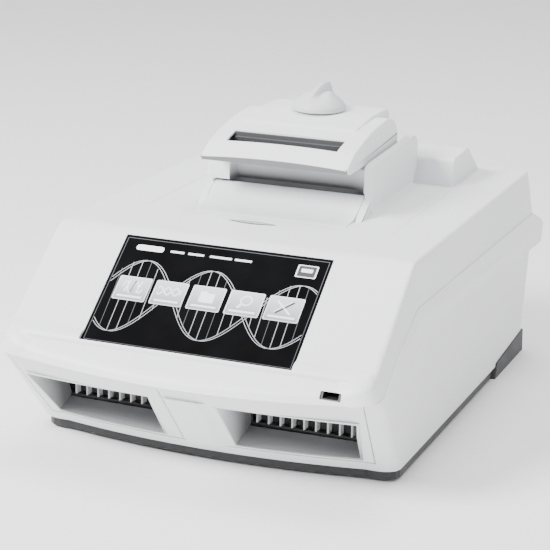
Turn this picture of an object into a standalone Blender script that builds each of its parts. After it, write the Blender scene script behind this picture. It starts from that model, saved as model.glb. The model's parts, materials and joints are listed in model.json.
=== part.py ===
"""Bench-top thermal cycler with a drop-in 96-well reaction module and a sloped touch screen.

Run with blender --background --python part.py. Sizes are in millimetres and MM turns them
into Blender's metres. X runs to the operator's right, -Y faces the operator and Z is up;
the origin is on the bench under the middle of the instrument.
"""
import math

import bmesh
import bpy
from mathutils import Matrix, Vector

MM = 0.001
GAP = 0.3                      # clearance between neighbouring pieces
WALL = 3.0                     # moulded cover thickness

# Enclosure
HALF_DEPTH = 221.0             # front lip and rear face lie at -/+ this
DECK_HALF = 148.0              # half-width at the deck's edge
SEAM_HALF = 154.5              # half-width where the top cover meets the lower housing
BASE_HALF = 150.0              # half-width of the lower housing at the bottom
BUMPER = 10.5                  # how far the side bumper stands out
BUMPER_TALL = 33.0
CREASE = (-113.5, 166.0)       # y, z of the crease between deck and sloped panel
REAR_Z = 168.0                 # deck height at the rear edge
PANEL_SLOPE = math.radians(37.6)
PANEL_FRONT = -217.5           # y of the panel's front edge at the middle
LIP_Z = 79.0
LIP_BOW = 9.0                  # how far the front edge curves back at x = 140
FOOT_BOW = 16.0
FOOT_FRONT = -158.0            # y of the front face at its bottom edge
HOUSING_Z = 10.0               # bottom edge of the lower housing
TRAY = (2.0, 9.7)              # base tray's bottom and top

# Front vents
VENT_TOP = (63.6, 28.0, 135.0)     # z, inner x, outer x
VENT_BOTTOM = (22.4, 30.0, 126.0)
VENT_BACK = -140.0
FIN_PITCH = 9.7

# Display, in the panel's own frame: along the slope from the crease, half-width
SCREEN = (6.4, 109.8, 86.0)

# Reaction module
BAY_HALF = 106.3
BAY_FRONT = -42.3
BLOCK = (23.5, 94.8, 54.2)        # front y, rear y, half-width
BLOCK_Z = (178.0, 198.5)
WELL_PITCH = 9.0
CHEEK = (65.5, 73.0)               # inner and outer x of the two hinge cheeks
CHEEK_OUTLINE = [(3.0, 165.0), (9.0, 205.6), (30.0, 211.0), (71.0, 217.5), (96.0, 216.5), (117.0, 212.0),
                 (129.0, 202.0), (127.0, 190.0), (113.5, 165.0)]
RIM_Z = 202.0                      # top of the block's surround

# Lid
LID_HALF = 64.0
LID_BOTTOM = 205.3
HINGE = (110.0, 204.0)             # y, z of the lid's axis
LEVER_PIVOT = (8.0, 212.5)
KNOB_Y = 72.0
KNOB_RADIUS = 23.0
KNOB_TURN = math.radians(-12.0)
LOCK_PIVOT = (11.0, 171.0)         # y, z of the module lock bar's axis
MODULE_PIECES = ["module_cover", "module_frame", "module_connector", "sample_block", "block_seal",
                 "heat_sink", "hinge_pin", "lock_bar_pin", "latch_catch",
                 *[f"peltier_{i}" for i in range(1, 7)]]

# Fans
FAN = 80.0
FAN_X = 48.0
FAN_Z = 74.0
FAN_Y = (186.5, 211.5)

for old in list(bpy.data.objects):
    bpy.data.objects.remove(old)
PARTS = bpy.data.collections.new("thermal_cycler")
CUTTERS = bpy.data.collections.new("cutters")
bpy.context.scene.collection.children.link(PARTS)
bpy.context.scene.collection.children.link(CUTTERS)


# ---------------------------------------------------------------- materials
def material(name, colour, roughness, metallic=0.0):
    made = bpy.data.materials.new(name)
    made.use_nodes = True
    shader = made.node_tree.nodes["Principled BSDF"]
    shader.inputs["Base Color"].default_value = (*colour, 1.0)
    shader.inputs["Roughness"].default_value = roughness
    shader.inputs["Metallic"].default_value = metallic
    return made


WHITE = material("white_abs", (0.86, 0.87, 0.88), 0.42)
LIGHT_GREY = material("light_grey_abs", (0.62, 0.63, 0.65), 0.45)
DARK_GREY = material("dark_grey_abs", (0.09, 0.09, 0.10), 0.5)
BLACK = material("black_plastic", (0.02, 0.02, 0.022), 0.4)
GLASS_BLACK = material("black_glass", (0.005, 0.005, 0.006), 0.06)
RUBBER = material("rubber", (0.03, 0.03, 0.03), 0.8)
STEEL = material("steel", (0.55, 0.56, 0.58), 0.35, 1.0)
ALUMINIUM = material("aluminium", (0.8, 0.81, 0.83), 0.3, 1.0)
SILVER_BLOCK = material("silver_block", (0.85, 0.86, 0.88), 0.22, 1.0)
BOARD = material("circuit_board", (0.02, 0.16, 0.07), 0.5)
CERAMIC = material("ceramic", (0.9, 0.9, 0.88), 0.6)
LAMP = material("light_pipe", (0.75, 0.8, 0.85), 0.25)


# ---------------------------------------------------------------- making solids
def add(name, mesh, finish):
    """A part when it has a finish, otherwise a cutter or a shape to be joined."""
    piece = bpy.data.objects.new(name, mesh)
    if finish:
        mesh.materials.append(finish)
        PARTS.objects.link(piece)
    else:
        CUTTERS.objects.link(piece)
        piece.hide_render = True
        piece.display_type = "WIRE"
    return piece


def mesh_from(name, work):
    bmesh.ops.recalc_face_normals(work, faces=work.faces)
    mesh = bpy.data.meshes.new(name)
    work.to_mesh(mesh)
    work.free()
    return mesh


def box(name, low, high, finish=None):
    work = bmesh.new()
    bmesh.ops.create_cube(work, size=1.0)
    low, high = Vector(low) * MM, Vector(high) * MM
    bmesh.ops.scale(work, vec=high - low, verts=work.verts)
    bmesh.ops.translate(work, vec=(low + high) / 2, verts=work.verts)
    return add(name, mesh_from(name, work), finish)


def boxes(name, spans):
    """Several separate boxes in one cutter."""
    work = bmesh.new()
    for low, high in spans:
        low, high = Vector(low) * MM, Vector(high) * MM
        made = bmesh.ops.create_cube(work, size=1.0)["verts"]
        bmesh.ops.scale(work, vec=high - low, verts=made)
        bmesh.ops.translate(work, vec=(low + high) / 2, verts=made)
    return add(name, mesh_from(name, work), None)


AXES = {
    "x": Matrix(((0, 0, 1), (1, 0, 0), (0, 1, 0))),
    "y": Matrix(((0, 1, 0), (0, 0, 1), (1, 0, 0))),
    "z": Matrix.Identity(3),
}


def cylinder(name, axis, centre, radius, span, finish=None, sides=20, top_radius=None):
    """A cylinder or cone along an axis; centre holds the other two coordinates in order."""
    work = bmesh.new()
    bmesh.ops.create_cone(
        work, cap_ends=True, segments=sides, radius1=radius * MM,
        radius2=(radius if top_radius is None else top_radius) * MM, depth=(span[1] - span[0]) * MM,
    )
    middle = (span[0] + span[1]) / 2
    place = {"x": (middle, *centre), "y": (centre[0], middle, centre[1]), "z": (*centre, middle)}[axis]
    bmesh.ops.rotate(work, matrix=AXES[axis], verts=work.verts)
    bmesh.ops.translate(work, vec=Vector(place) * MM, verts=work.verts)
    return add(name, mesh_from(name, work), finish)


def prism(name, axis, outline, span, finish=None):
    """A flat outline extruded along an axis; outline points are (y, z), (x, z) or (x, y)."""
    curve = bpy.data.curves.new(name, "CURVE")
    curve.dimensions = "2D"
    curve.fill_mode = "BOTH"
    curve.extrude = (span[1] - span[0]) / 2 * MM
    spline = curve.splines.new("POLY")
    spline.points.add(len(outline) - 1)
    for point, (a, b) in zip(spline.points, outline):
        across, up = (b, a) if axis == "y" else (a, b)
        point.co = (across * MM, up * MM, 0.0, 1.0)
    spline.use_cyclic_u = True
    holder = bpy.data.objects.new(name, curve)
    bpy.context.scene.collection.objects.link(holder)
    shape = holder.evaluated_get(bpy.context.evaluated_depsgraph_get())
    mesh = bpy.data.meshes.new_from_object(shape)
    bpy.data.objects.remove(holder)
    work = bmesh.new()
    work.from_mesh(mesh)
    bpy.data.meshes.remove(mesh)
    bmesh.ops.remove_doubles(work, verts=work.verts, dist=1e-6)
    bmesh.ops.dissolve_limit(work, angle_limit=0.001, verts=work.verts, edges=work.edges)
    bmesh.ops.rotate(work, matrix=AXES[axis], verts=work.verts)
    middle = (span[0] + span[1]) / 2 * MM
    bmesh.ops.translate(work, vec=[middle if axis == a else 0.0 for a in "xyz"], verts=work.verts)
    return add(name, mesh_from(name, work), finish)


def loft(name, near, far, finish=None):
    """A solid between two polygons with the same number of corners."""
    work = bmesh.new()
    ends = [[work.verts.new(Vector(p) * MM) for p in ring] for ring in (near, far)]
    for ring in ends:
        work.faces.new(ring)
    for i in range(len(near)):
        j = (i + 1) % len(near)
        work.faces.new((ends[0][i], ends[0][j], ends[1][j], ends[1][i]))
    return add(name, mesh_from(name, work), finish)


def turned(name, profile, finish=None, steps=24):
    """A turned solid about Z; the profile (radius, z) runs down its outer side, top to bottom."""
    mesh = bpy.data.meshes.new(name)
    points = [(r * MM, 0.0, z * MM) for r, z in profile]
    mesh.from_pydata(points, [(i, i + 1) for i in range(len(points) - 1)], [])
    piece = add(name, mesh, finish)
    screw = piece.modifiers.new("turn", "SCREW")
    screw.steps = screw.render_steps = steps
    screw.use_merge_vertices = True
    screw.merge_threshold = 0.0001 * MM
    screw.use_normal_calculate = True
    return piece


def combine(piece, other, operation):
    step = piece.modifiers.new(other.name, "BOOLEAN")
    step.operation = operation
    step.object = other
    step.solver = "EXACT"
    if other.name not in CUTTERS.objects:
        PARTS.objects.unlink(other)
        CUTTERS.objects.link(other)
        other.hide_render = True
        other.display_type = "WIRE"
    return piece


def cut(piece, *others):
    for other in others:
        combine(piece, other, "DIFFERENCE")
    return piece


def join(piece, *others):
    for other in others:
        combine(piece, other, "UNION")
    return piece


def bevel(piece, width, segments=2, angle=40.0):
    step = piece.modifiers.new("edges", "BEVEL")
    step.width = width * MM
    step.segments = segments
    step.limit_method = "ANGLE"
    step.angle_limit = math.radians(angle)
    step.use_clamp_overlap = True
    return piece


def empty(name, place, rotation=(0.0, 0.0, 0.0)):
    made = bpy.data.objects.new(name, None)
    made.location = Vector(place) * MM
    made.rotation_euler = rotation
    PARTS.objects.link(made)
    return made


def pivot(frame_name, place, *pieces):
    """Puts an empty on a joint's axis and hangs the moving pieces on it where they are."""
    axle = empty(frame_name, place)
    for piece in pieces:
        piece.parent = axle
        piece.matrix_parent_inverse = Matrix.Translation(-Vector(place) * MM)
    return axle


def side_name(side):
    return "left" if side < 0 else "right"


def sorted_box(low, high):
    pairs = [sorted(pair) for pair in zip(low, high)]
    return [pair[0] for pair in pairs], [pair[1] for pair in pairs]


# ---------------------------------------------------------------- enclosure shape
def between(a, b, t):
    return a + (b - a) * t


def deck_z(y):
    """Height of the deck and of the sloped panel in front of its crease."""
    crease_y, crease_z = CREASE
    if y > crease_y:
        return between(crease_z, REAR_Z, (y - crease_y) / (HALF_DEPTH - crease_y))
    return crease_z - (crease_y - y) * math.tan(PANEL_SLOPE)


def along(stations, y):
    """Height read from (y, z) stations that run from the rear to the front."""
    for (y0, z0), (y1, z1) in zip(stations, stations[1:]):
        if y >= y1:
            return between(z0, z1, (y - y0) / (y1 - y0))
    return stations[-1][1]


def level(half, rear, corner, side_ys, front, bow, z_side, z_front, corner_steps=4):
    """Half of a level line round the enclosure: rear middle, +X side, front middle."""
    points = [(0.0, rear, z_side(rear)), (half(rear) - corner, rear, z_side(rear))]
    for i in (1, 2):
        turn = math.radians(45 * i)
        points.append((
            half(rear) - corner + corner * math.sin(turn), rear - corner + corner * math.cos(turn),
            z_side(rear),
        ))
    points += [(half(y), y, z_side(y)) for y in side_ys]
    start = Vector(points[-1])
    end_x = half(side_ys[-1]) - 24.0

    def front_y(x):
        return front + bow * (x / 140.0) ** 2

    end = Vector((end_x, front_y(end_x), z_front(end_x)))
    middle = Vector((start.x, end.y - 1.5, (start.z + end.z) / 2))
    for i in range(1, corner_steps):
        t = i / corner_steps
        points.append(tuple(start * (1 - t) ** 2 + middle * 2 * t * (1 - t) + end * t * t))
    for i in range(5):
        x = end_x * (1 - i / 4)
        points.append((x, front_y(x), z_front(x)))
    return [Vector(p) for p in points]


SEAM_LINE = [(HALF_DEPTH, 130.0), (-121.0, 134.0), (-161.0, 112.0), (-195.0, 87.5), (-211.0, 85.0),
             (-HALF_DEPTH, LIP_Z)]


def seam_z(y):
    return along(SEAM_LINE, y)


def seam_side(name, shift, above):
    """Everything above or below the seam between top cover and lower housing."""
    line = [(y + (30 if y == HALF_DEPTH else 0), z + shift) for y, z in SEAM_LINE]
    line.append((-HALF_DEPTH - 30, LIP_Z + shift))
    far = 300.0 if above else -100.0
    return prism(name, "x", line + [(line[-1][0], far), (line[0][0], far)], (-200, 200))


def deck_line(inset, front_inset):
    """Edge of the flat deck and panel, moved in from its outer edge."""
    front = PANEL_FRONT + front_inset
    sides = [60.0, CREASE[0], -160.0, -196.0 + front_inset]
    return level(lambda y: DECK_HALF - inset, HALF_DEPTH - inset - 1.0, 6.0, sides, front, LIP_BOW,
                 deck_z, lambda x: deck_z(front + LIP_BOW * (x / 140.0) ** 2))


def seam_line(outset, front_inset, drop):
    """Level line at the seam, moved out at the sides, back at the front and down by drop."""
    sides = [60.0, -121.0, -161.0, -195.0]
    front = -HALF_DEPTH + front_inset
    return level(lambda y: SEAM_HALF + outset, HALF_DEPTH, 8.0, sides, front, LIP_BOW,
                 lambda y: seam_z(y) - drop,
                 lambda x: seam_z(-HALF_DEPTH + LIP_BOW * (x / 140.0) ** 2) - drop)


def base_line():
    sides = [60.0, -100.0, -122.0, -132.0]
    return level(lambda y: BASE_HALF, HALF_DEPTH - 3.0, 8.0, sides, FOOT_FRONT, FOOT_BOW,
                 lambda y: HOUSING_Z, lambda x: HOUSING_Z)


def ring(half_line):
    """Closes a half level line with its mirror image."""
    mirrored = [Vector((-p.x, p.y, p.z)) for p in half_line[1:-1]]
    return half_line + mirrored[::-1]


def ring_shell(name, rings, capped, finish=None, thickness=WALL):
    """A shell through level rings, closed over the last one when it is capped."""
    work = bmesh.new()
    loops = [[work.verts.new(p * MM) for p in points] for points in rings]
    count = len(loops[0])
    for lower, upper in zip(loops, loops[1:]):
        for i in range(count):
            j = (i + 1) % count
            work.faces.new((lower[i], lower[j], upper[j], upper[i]))
    if capped:
        top, last = loops[-1], count // 2
        work.faces.new([top[count - 1], top[0], top[1], top[2], top[count - 2]])
        for i in range(2, last - 2):
            work.faces.new((top[i], top[i + 1], top[count - i - 1], top[count - i]))
        work.faces.new([top[i] for i in range(last - 2, last + 3)])
    piece = add(name, mesh_from(name, work), finish)
    skin = piece.modifiers.new("wall", "SOLIDIFY")
    skin.thickness = thickness * MM
    skin.offset = -1.0
    skin.use_even_offset = True
    return piece


def housing_rings():
    """Level rings of the lower housing, from under the seam to its bottom edge."""
    top, bottom = seam_line(1.2, 2.5, 0.0), base_line()
    rings = [ring([point + Vector((0.0, 0.0, 5.0)) for point in top])]
    for drop in (0.0, 5.0, 12.0, 19.0, 27.0, BUMPER_TALL, 1e6):
        points = []
        for i, (high, low) in enumerate(zip(top, bottom)):
            t = min(1.0, drop / (high.z - low.z))
            point = high.lerp(low, t)
            swell = math.sin(math.pi * min(1.0, drop / BUMPER_TALL)) if drop < 1e3 else 0.0
            point.x += swell * bumper_reach(i, high)
            points.append(point)
        rings.append(ring(points))
    return rings


def bumper_reach(station, high):
    """How far the bumper stands out at a station of the level line."""
    if station < 2 or high.x < SEAM_HALF:
        return BUMPER * 0.7 if station == 2 else 0.0
    if high.y > 60.0:
        return BUMPER
    return between(1.5, BUMPER, max(0.0, (high.y + 195.0) / 255.0))


def on_face(z):
    """y of the front face's centre line at a height."""
    return between(FOOT_FRONT, -HALF_DEPTH + 2.0, (z - HOUSING_Z) / (LIP_Z - HOUSING_Z))


def vent_solid(name, side, grow, back, front_reach):
    """The tapered pocket behind a front vent, its walls moved out by grow."""
    (top, top_in, top_out), (low, low_in, low_out) = VENT_TOP, VENT_BOTTOM
    rings = []
    for x_top, x_low, sign in ((top_in, low_in, -1), (top_out, low_out, 1)):
        bow_top = LIP_BOW * (x_top / 140.0) ** 2
        bow_low = FOOT_BOW * (x_low / 140.0) ** 2
        floor_rise = 9.6 + grow * 0.2
        front_top = on_face(top) + bow_top + front_reach
        front_low = on_face(low) + bow_low + front_reach
        dip = 0.0 if front_reach > 0 else front_reach * 0.3
        xs = (x_top + sign * grow) * side, (x_low + sign * grow) * side
        rings.append([
            (xs[0], front_top, top + grow), (xs[0], back, top + grow),
            (xs[1], back, low + floor_rise - grow), (xs[1], front_low, low - grow + dip),
        ])
    return loft(name, *rings)


# ---------------------------------------------------------------- enclosure parts
def make_top_cover():
    seam, edge, inner = seam_line(0.0, 0.0, 0.0), deck_line(0.0, 0.0), deck_line(2.5, 7.0)
    shoulder = [low.lerp(high, 1.0 - 2.5 / (high - low).length) for low, high in zip(seam, edge)]
    skirt = [point - Vector((0.0, 0.0, 5.0)) for point in seam]
    rings = [ring(line) for line in (skirt, seam, shoulder, inner)]
    cover = ring_shell("top_cover", rings, True, WHITE)
    return cut(cover, seam_side("under_seam", 0.0, False))


def make_lower_housing():
    housing = ring_shell("lower_housing", housing_rings(), False, WHITE)
    front = prism("front_opening", "y", front_trapezoid(GAP / 2), (-260, -120))
    rear = box("rear_opening", (-139.3, 200, 14), (139.3, 240, 126.3))
    above = seam_side("over_seam", -GAP, True)
    return cut(housing, above, front, rear, *[rear_foot_shape(side, GAP) for side in (-1, 1)])


def front_trapezoid(grow):
    """Outline of the front vent panel, seen from the front."""
    top, bottom = (90.0, 145.0 + grow), (19.0 - grow, 136.0 + grow)
    return [(-top[1], top[0]), (top[1], top[0]), (bottom[1], bottom[0]), (-bottom[1], bottom[0])]


def rear_foot_shape(side, grow, finish=None, name="rear_foot_space"):
    """Dark bumper foot at a rear corner, or the space kept clear for it."""
    below = 0.0 if finish else 1.0
    outline = [(125 - 2.5 * grow, -below), (131 - 2.5 * grow, 13 + grow), (216 + grow, 20.5 + grow),
               (218 + 2 * grow, -below)]
    reach = sorted((side * (137 - grow), side * (151.5 if finish else 162.0)))
    return prism(f"{name}_{side_name(side)}", "x", outline, reach, finish)


def make_front_panel():
    panel = ring_shell("front_vent_panel", housing_rings(), False, WHITE)
    keep = prism("front_panel_extent", "y", front_trapezoid(-GAP / 2), (-260, -120))
    combine(panel, keep, "INTERSECT")
    cut(panel, CUTTERS.objects["over_seam"])
    join(panel, centre_rib())
    for side in (-1, 1):
        join(panel, vent_solid(f"vent_walls_{side_name(side)}", side, 2.5, VENT_BACK, 2.0))
    for side in (-1, 1):
        cut(panel, vent_solid(f"vent_space_{side_name(side)}", side, 0.0, VENT_BACK + 5, -25.0))
    return panel


def centre_rib():
    """Raised rib between the vents, with sloping flanks."""
    ends = []
    for z in (19.5, 67.0):
        y = on_face(z)
        ends.append([(-19.0, y + 2.0, z), (-12.0, y - 3.5, z), (12.0, y - 3.5, z), (19.0, y + 2.0, z)])
    return loft("centre_rib", *ends)


def make_grille(side):
    """Plate of upright fins closing the back of a vent pocket."""
    low, high = sorted((side * 27.0, side * 137.0))
    name = side_name(side)
    grille = box(f"vent_grille_{name}", (low, VENT_BACK + GAP, 28), (high, VENT_BACK + 7, 66.5), BLACK)
    gaps = []
    for i in range(10):
        middle = side * (34.5 + FIN_PITCH * i + FIN_PITCH / 2)
        gaps.append(((middle - 3.6, -200, 32.5), (middle + 3.6, -100, 63.0)))
    return cut(grille, boxes(f"fin_gaps_{name}", gaps[:-1]))


def make_base_tray():
    outline = level(lambda y: BASE_HALF - 1.5, HALF_DEPTH - 6.0, 8.0, [60, -100, -122, -130],
                    FOOT_FRONT + 4.0, FOOT_BOW, lambda y: 0.0, lambda x: 0.0)
    tray = prism("base_tray", "z", [(p.x, p.y) for p in ring(outline)], TRAY, BLACK)
    well = box("tray_well", (-140, -136, 5.0), (140, 208, 20))
    cut(tray, well, *[CUTTERS.objects[f"rear_foot_space_{side_name(side)}"] for side in (-1, 1)])
    for x in (-70, 68):
        for y in (-100, 100):
            join(tray, cylinder(f"standoff_{x}_{y}", "z", (x, y), 3.0, (4.0, 15.7), sides=8))
    return tray


def make_feet():
    for side in (-1, 1):
        cylinder(f"front_foot_{side_name(side)}", "z", (side * 118.0, -112.0), 10.0, (0.0, TRAY[0] - GAP),
                 RUBBER, 12)
        rear_foot_shape(side, 0.0, RUBBER, "rear_foot")


# ---------------------------------------------------------------- display and ports
def make_display(cover):
    near, far, half = SCREEN
    frame = empty("panel_frame", (0, *CREASE), (PANEL_SLOPE, 0.0, 0.0))
    recess = box("glass_recess", (-half - GAP, -far - GAP, -2.2), (half + GAP, -near + GAP, 20))
    window = box("display_window", (-half + 6, -far + 6, -20), (half - 6, -near - 6, 20))
    cut(cover, recess, window)
    glass = box("touch_glass", (-half, -far, -1.9), (half, -near, -0.2), GLASS_BLACK)
    gasket = box("display_gasket", (-half + 2, -far + 2, -5.2), (half - 2, -near - 2, -WALL - GAP), RUBBER)
    hole = box("gasket_hole", (-half + 6, -far + 6, -20), (half - 6, -near - 6, 20))
    cut(gasket, hole)
    lcd = box("lcd_panel", (-half + 3, -far + 3, -10.5), (half - 3, -near - 3, -5.2 - GAP), DARK_GREY)
    board = box("display_board", (-half + 8, -far + 10, -16.0), (half - 8, -near - 12, -14.4), BOARD)
    for i in range(3):
        chip = box(f"display_chip_{i}", (-50 + 40 * i, -70, -15), (-34 + 40 * i, -50, -12.5))
        join(board, chip)
        chip.parent = frame
    join(board, box("display_spacer", (-6, -96, -15), (6, -90, -10.8)))
    CUTTERS.objects["display_spacer"].parent = frame
    for piece in (recess, window, glass, gasket, hole, lcd, board):
        piece.parent = frame


def make_ports(cover):
    """Front USB socket in the lip and the status light in the deck."""
    cut(cover, box("usb_opening", (112, -230, 85.5), (128, -185, 92.5)))
    outline = [(-212.6, 85.8), (-208.4, 92.2), (-190.0, 92.2), (-190.0, 85.8)]
    port = prism("front_usb_port", "x", outline, (112.3, 127.7), BLACK)
    cut(port, box("usb_socket", (114, -230, 86.8), (126, -196, 91.2)))
    lens = [(-29.0, -57.0), (-26.0, -61.0), (14.0, -61.0), (17.0, -57.0), (14.0, -53.0), (-26.0, -53.0)]
    prism("status_light", "z", lens, (160.0, 166.6), LAMP)
    grown = [(x + GAP * math.copysign(1.5, x + 6.0), y + GAP * ((y > -57.0) - (y < -57.0))) for x, y in lens]
    cut(cover, prism("status_light_hole", "z", grown, (150.0, 180.0)))


# ---------------------------------------------------------------- electronics and cooling
def make_electronics():
    board = box("main_board", (-80, -110, 16.0), (78, 110, 17.6), BOARD)
    parts = [((-60, -90, 17), (-30, -60, 20)), ((-10, -40, 17), (20, -10, 24)), ((30, 20, 17), (60, 90, 27)),
             ((-70, 30, 17), (-50, 80, 30)), ((-20, -108, 17), (20, -100, 25))]
    for i, (low, high) in enumerate(parts):
        join(board, box(f"board_part_{i}", low, high))
    supply = box("power_supply", (92, -60, 5.3), (139, 110, 65), STEEL)
    cut(supply, boxes("supply_slots", [((85, y, 20), (100, y + 6, 50)) for y in range(-40, 90, 14)]))
    cut(supply, box("supply_space", (96, -56, 9), (136, 106, 62)))
    path = [(-165.5, 102.5), (-136.0, 78.0), (-112.0, 50.0), (-96.0, 18.0)]
    strip = path + [(y + 0.9, z + 0.3) for y, z in reversed(path)]
    prism("display_cable", "x", strip, (-18, 18), LIGHT_GREY)


def make_bay():
    """Rails, bracket and connector that receive the reaction module."""
    for side in (-1, 1):
        angle = ((88, 5.3), (88, 160.4), (76, 160.4), (76, 158.4), (86, 158.4), (86, 5.3))
        outline = [(side * x, z) for x, z in angle]
        prism(f"bay_rail_{side_name(side)}", "y", outline, (0, 150), STEEL)
    box("bay_bracket", (-85.7, 96, 88), (85.7, 122, 90.5), STEEL)
    socket = box("bay_connector", (-32, 99, 90.8), (32, 119, 103.7), BLACK)
    cut(socket, box("connector_slot", (-28, 103, 96), (28, 115, 120)))


def make_fan(side):
    name, x = side_name(side), side * FAN_X
    low, high = x - FAN / 2, x + FAN / 2
    start, end = FAN_Y
    frame = box(f"fan_frame_{name}", (low, start, FAN_Z - FAN / 2), (high, end, FAN_Z + FAN / 2), BLACK)
    cut(frame, cylinder(f"fan_bore_{name}", "y", (x, FAN_Z), 38.3, (start - 5, end + 5), sides=28))
    strut = (low + 1, end - 2.7, FAN_Z - 2.5), (high - 1, end - 0.2, FAN_Z + 2.5)
    join(frame, box(f"fan_strut_a_{name}", *strut),
         box(f"fan_strut_b_{name}", (x - 2.5, end - 2.6, FAN_Z - 39), (x + 2.5, end - 0.3, FAN_Z + 39)),
         cylinder(f"fan_boss_{name}", "y", (x, FAN_Z), 15.0, (end - 2.8, end - 0.1), sides=16))
    rotor = cylinder(f"fan_rotor_{name}", "y", (x, FAN_Z), 15.5, (start + 2, end - 3.2), DARK_GREY, 21)
    for i in range(7):
        join(rotor, fan_blade(f"fan_blade_{name}_{i}", (x, (start + end) / 2 - 1, FAN_Z), i / 7))
    pivot(f"fan_axis_{name}", (x, start, FAN_Z), rotor)


def fan_blade(name, centre, part_turn):
    work = bmesh.new()
    bmesh.ops.create_cube(work, size=1.0)
    bmesh.ops.scale(work, vec=Vector((1.8, 19.0, 23.5)) * MM, verts=work.verts)
    bmesh.ops.rotate(work, matrix=Matrix.Rotation(math.radians(42), 3, "Z"), verts=work.verts)
    bmesh.ops.translate(work, vec=(0, 0, 25.0 * MM), verts=work.verts)
    bmesh.ops.rotate(work, matrix=Matrix.Rotation(2 * math.pi * part_turn, 3, "Y"), verts=work.verts)
    bmesh.ops.translate(work, vec=Vector(centre) * MM, verts=work.verts)
    return add(name, mesh_from(name, work), None)


# ---------------------------------------------------------------- rear
def make_rear():
    panel = box("rear_panel", (-143, 212.0, 10.3), (143, 214.5, 128), LIGHT_GREY)
    slots = []
    for side in (-1, 1):
        for i in range(7):
            z = FAN_Z - 33 + 11 * i
            reach = math.sqrt(38.0 ** 2 - (z - FAN_Z) ** 2) - 2
            slots.append(((side * FAN_X - reach, 200, z - 3.5), (side * FAN_X + reach, 230, z + 3.5)))
    cut(panel, *[CUTTERS.objects[f"rear_foot_space_{side_name(side)}"] for side in (-1, 1)])
    cut(panel, boxes("exhaust_slots", slots), box("inlet_hole", (104.7, 200, 30.7), (131.3, 230, 49.3)),
        box("switch_hole", (107.7, 200, 61.7), (128.3, 230, 86.3)),
        box("network_hole", (-127.3, 200, 45.7), (-110.7, 230, 60.3)))
    inlet = box("power_inlet", (105, 190, 31), (131, 216, 49), BLACK)
    join(inlet, box("inlet_flange", (100, 214.8, 27), (136, 217.3, 53)))
    cut(inlet, box("inlet_socket", (107.5, 199, 33.5), (128.5, 230, 46.5)))
    for i, (x, z) in enumerate(((112.5, 38.0), (118.0, 42.0), (123.5, 38.0))):
        join(inlet, box(f"inlet_pin_{i}", (x - 1, 198, z - 2), (x + 1, 205, z + 2)))
    socket = box("network_port", (-127, 196, 46), (-111, 216.5, 60), STEEL)
    cut(socket, box("network_socket", (-125, 203, 48), (-113, 230, 57)))
    make_switch()
    for i, (x, z) in enumerate(((-134, 29), (134, 92), (-134, 118), (134, 118))):
        cylinder(f"panel_screw_{i + 1}", "y", (x, z), 3.2, (214.8, 217.0), STEEL, 12, 2.4)


def make_switch():
    centre = Vector((0, 211.5, 74.0))
    housing = box("switch_housing", (108, 200, 62), (128, 216, 86), BLACK)
    join(housing, box("switch_flange", (105.5, 214.8, 59.5), (130.5, 217.2, 88.5)))
    cut(housing, box("switch_well", (110.5, 202, 64.0), (125.5, 230, 84.0)))
    tilt = Matrix.Rotation(math.radians(8), 2)
    section = [(-5.5, 0.0), (-4.0, -7.5), (3.0, -8.8), (6.6, -8.6), (5.2, 0.0), (6.6, 8.6), (3.0, 8.8),
               (-4.0, 7.5)]
    outline = [tilt @ Vector(p) + centre.yz for p in section]
    rocker = prism("power_switch", "x", outline, (111, 125), DARK_GREY)
    pivot("switch_axis", centre + Vector((118, 0, 0)), rocker)


# ---------------------------------------------------------------- reaction module
def make_module_cover():
    rear, front = HALF_DEPTH - 0.5, BAY_FRONT + GAP
    deck = [(front, deck_z(front)), (rear, deck_z(rear)), (rear, deck_z(rear) - WALL),
            (front, deck_z(front) - WALL)]
    cover = prism("module_cover", "x", deck, (-BAY_HALF + GAP, BAY_HALF - GAP), WHITE)
    y_in, y_out = BLOCK[:2]
    join(cover, box("lock_pocket", (-70, -41.5, 154.5), (70, 17, 165.5)))
    join(cover, box("rear_skirt", (-105.6, rear - WALL, 131), (105.6, rear - 0.2, 166)))
    surround = [(15.0, 160.0), (16.0, RIM_Z), (96.0, RIM_Z), (97.0, 197.0), (102.0, 197.0), (102.0, 160.0)]
    join(cover, prism("surround", "x", surround, (-69, 69)))
    for side in (-1, 1):
        low, high = sorted((side * CHEEK[0], side * CHEEK[1]))
        join(cover, prism(f"cheek_{side_name(side)}", "x", CHEEK_OUTLINE, (low, high)))
    join(cover, prism("hump", "x", [(129, 164), (131.5, 191.5), (174, 194), (213, 166)], (-104, 104)))
    cut(cover, prism("hump_inside", "x", [(132, 150), (134.5, 188.5), (173, 190.8), (212, 160)], (-101, 101)),
        box("lock_space", (-66.3, -38.3, 157.5), (66.3, 16.0, 183.4)),
        box("block_opening", (-57, y_in - 2.2, 150), (57, y_out + 2.3, 260)),
        box("sink_opening", (-62.5, y_in - 2.2, 150), (62.5, y_out + 2.3, 176)),
        box("catch_slot", (-9, 17.3, 190), (9, 19.6, 260)),
        cylinder("hinge_bore", "x", HINGE, 3.3, (-71, 71), sides=16),
        cylinder("lock_bore", "x", LOCK_PIVOT, 2.3, (-68.8, 68.8), sides=12))
    cylinder("hinge_pin", "x", HINGE, 3.0, (-70.7, 70.7), STEEL, 12)
    cylinder("lock_bar_pin", "x", LOCK_PIVOT, 2.0, (-68.5, 68.5), STEEL, 10)
    catch = [(17.6, 190.3), (17.6, 209.0), (20.2, 209.0), (20.8, 208.0), (20.8, 207.0), (19.3, 207.0),
             (19.3, 190.3)]
    prism("latch_catch", "x", catch, (-8.7, 8.7), STEEL)


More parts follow.
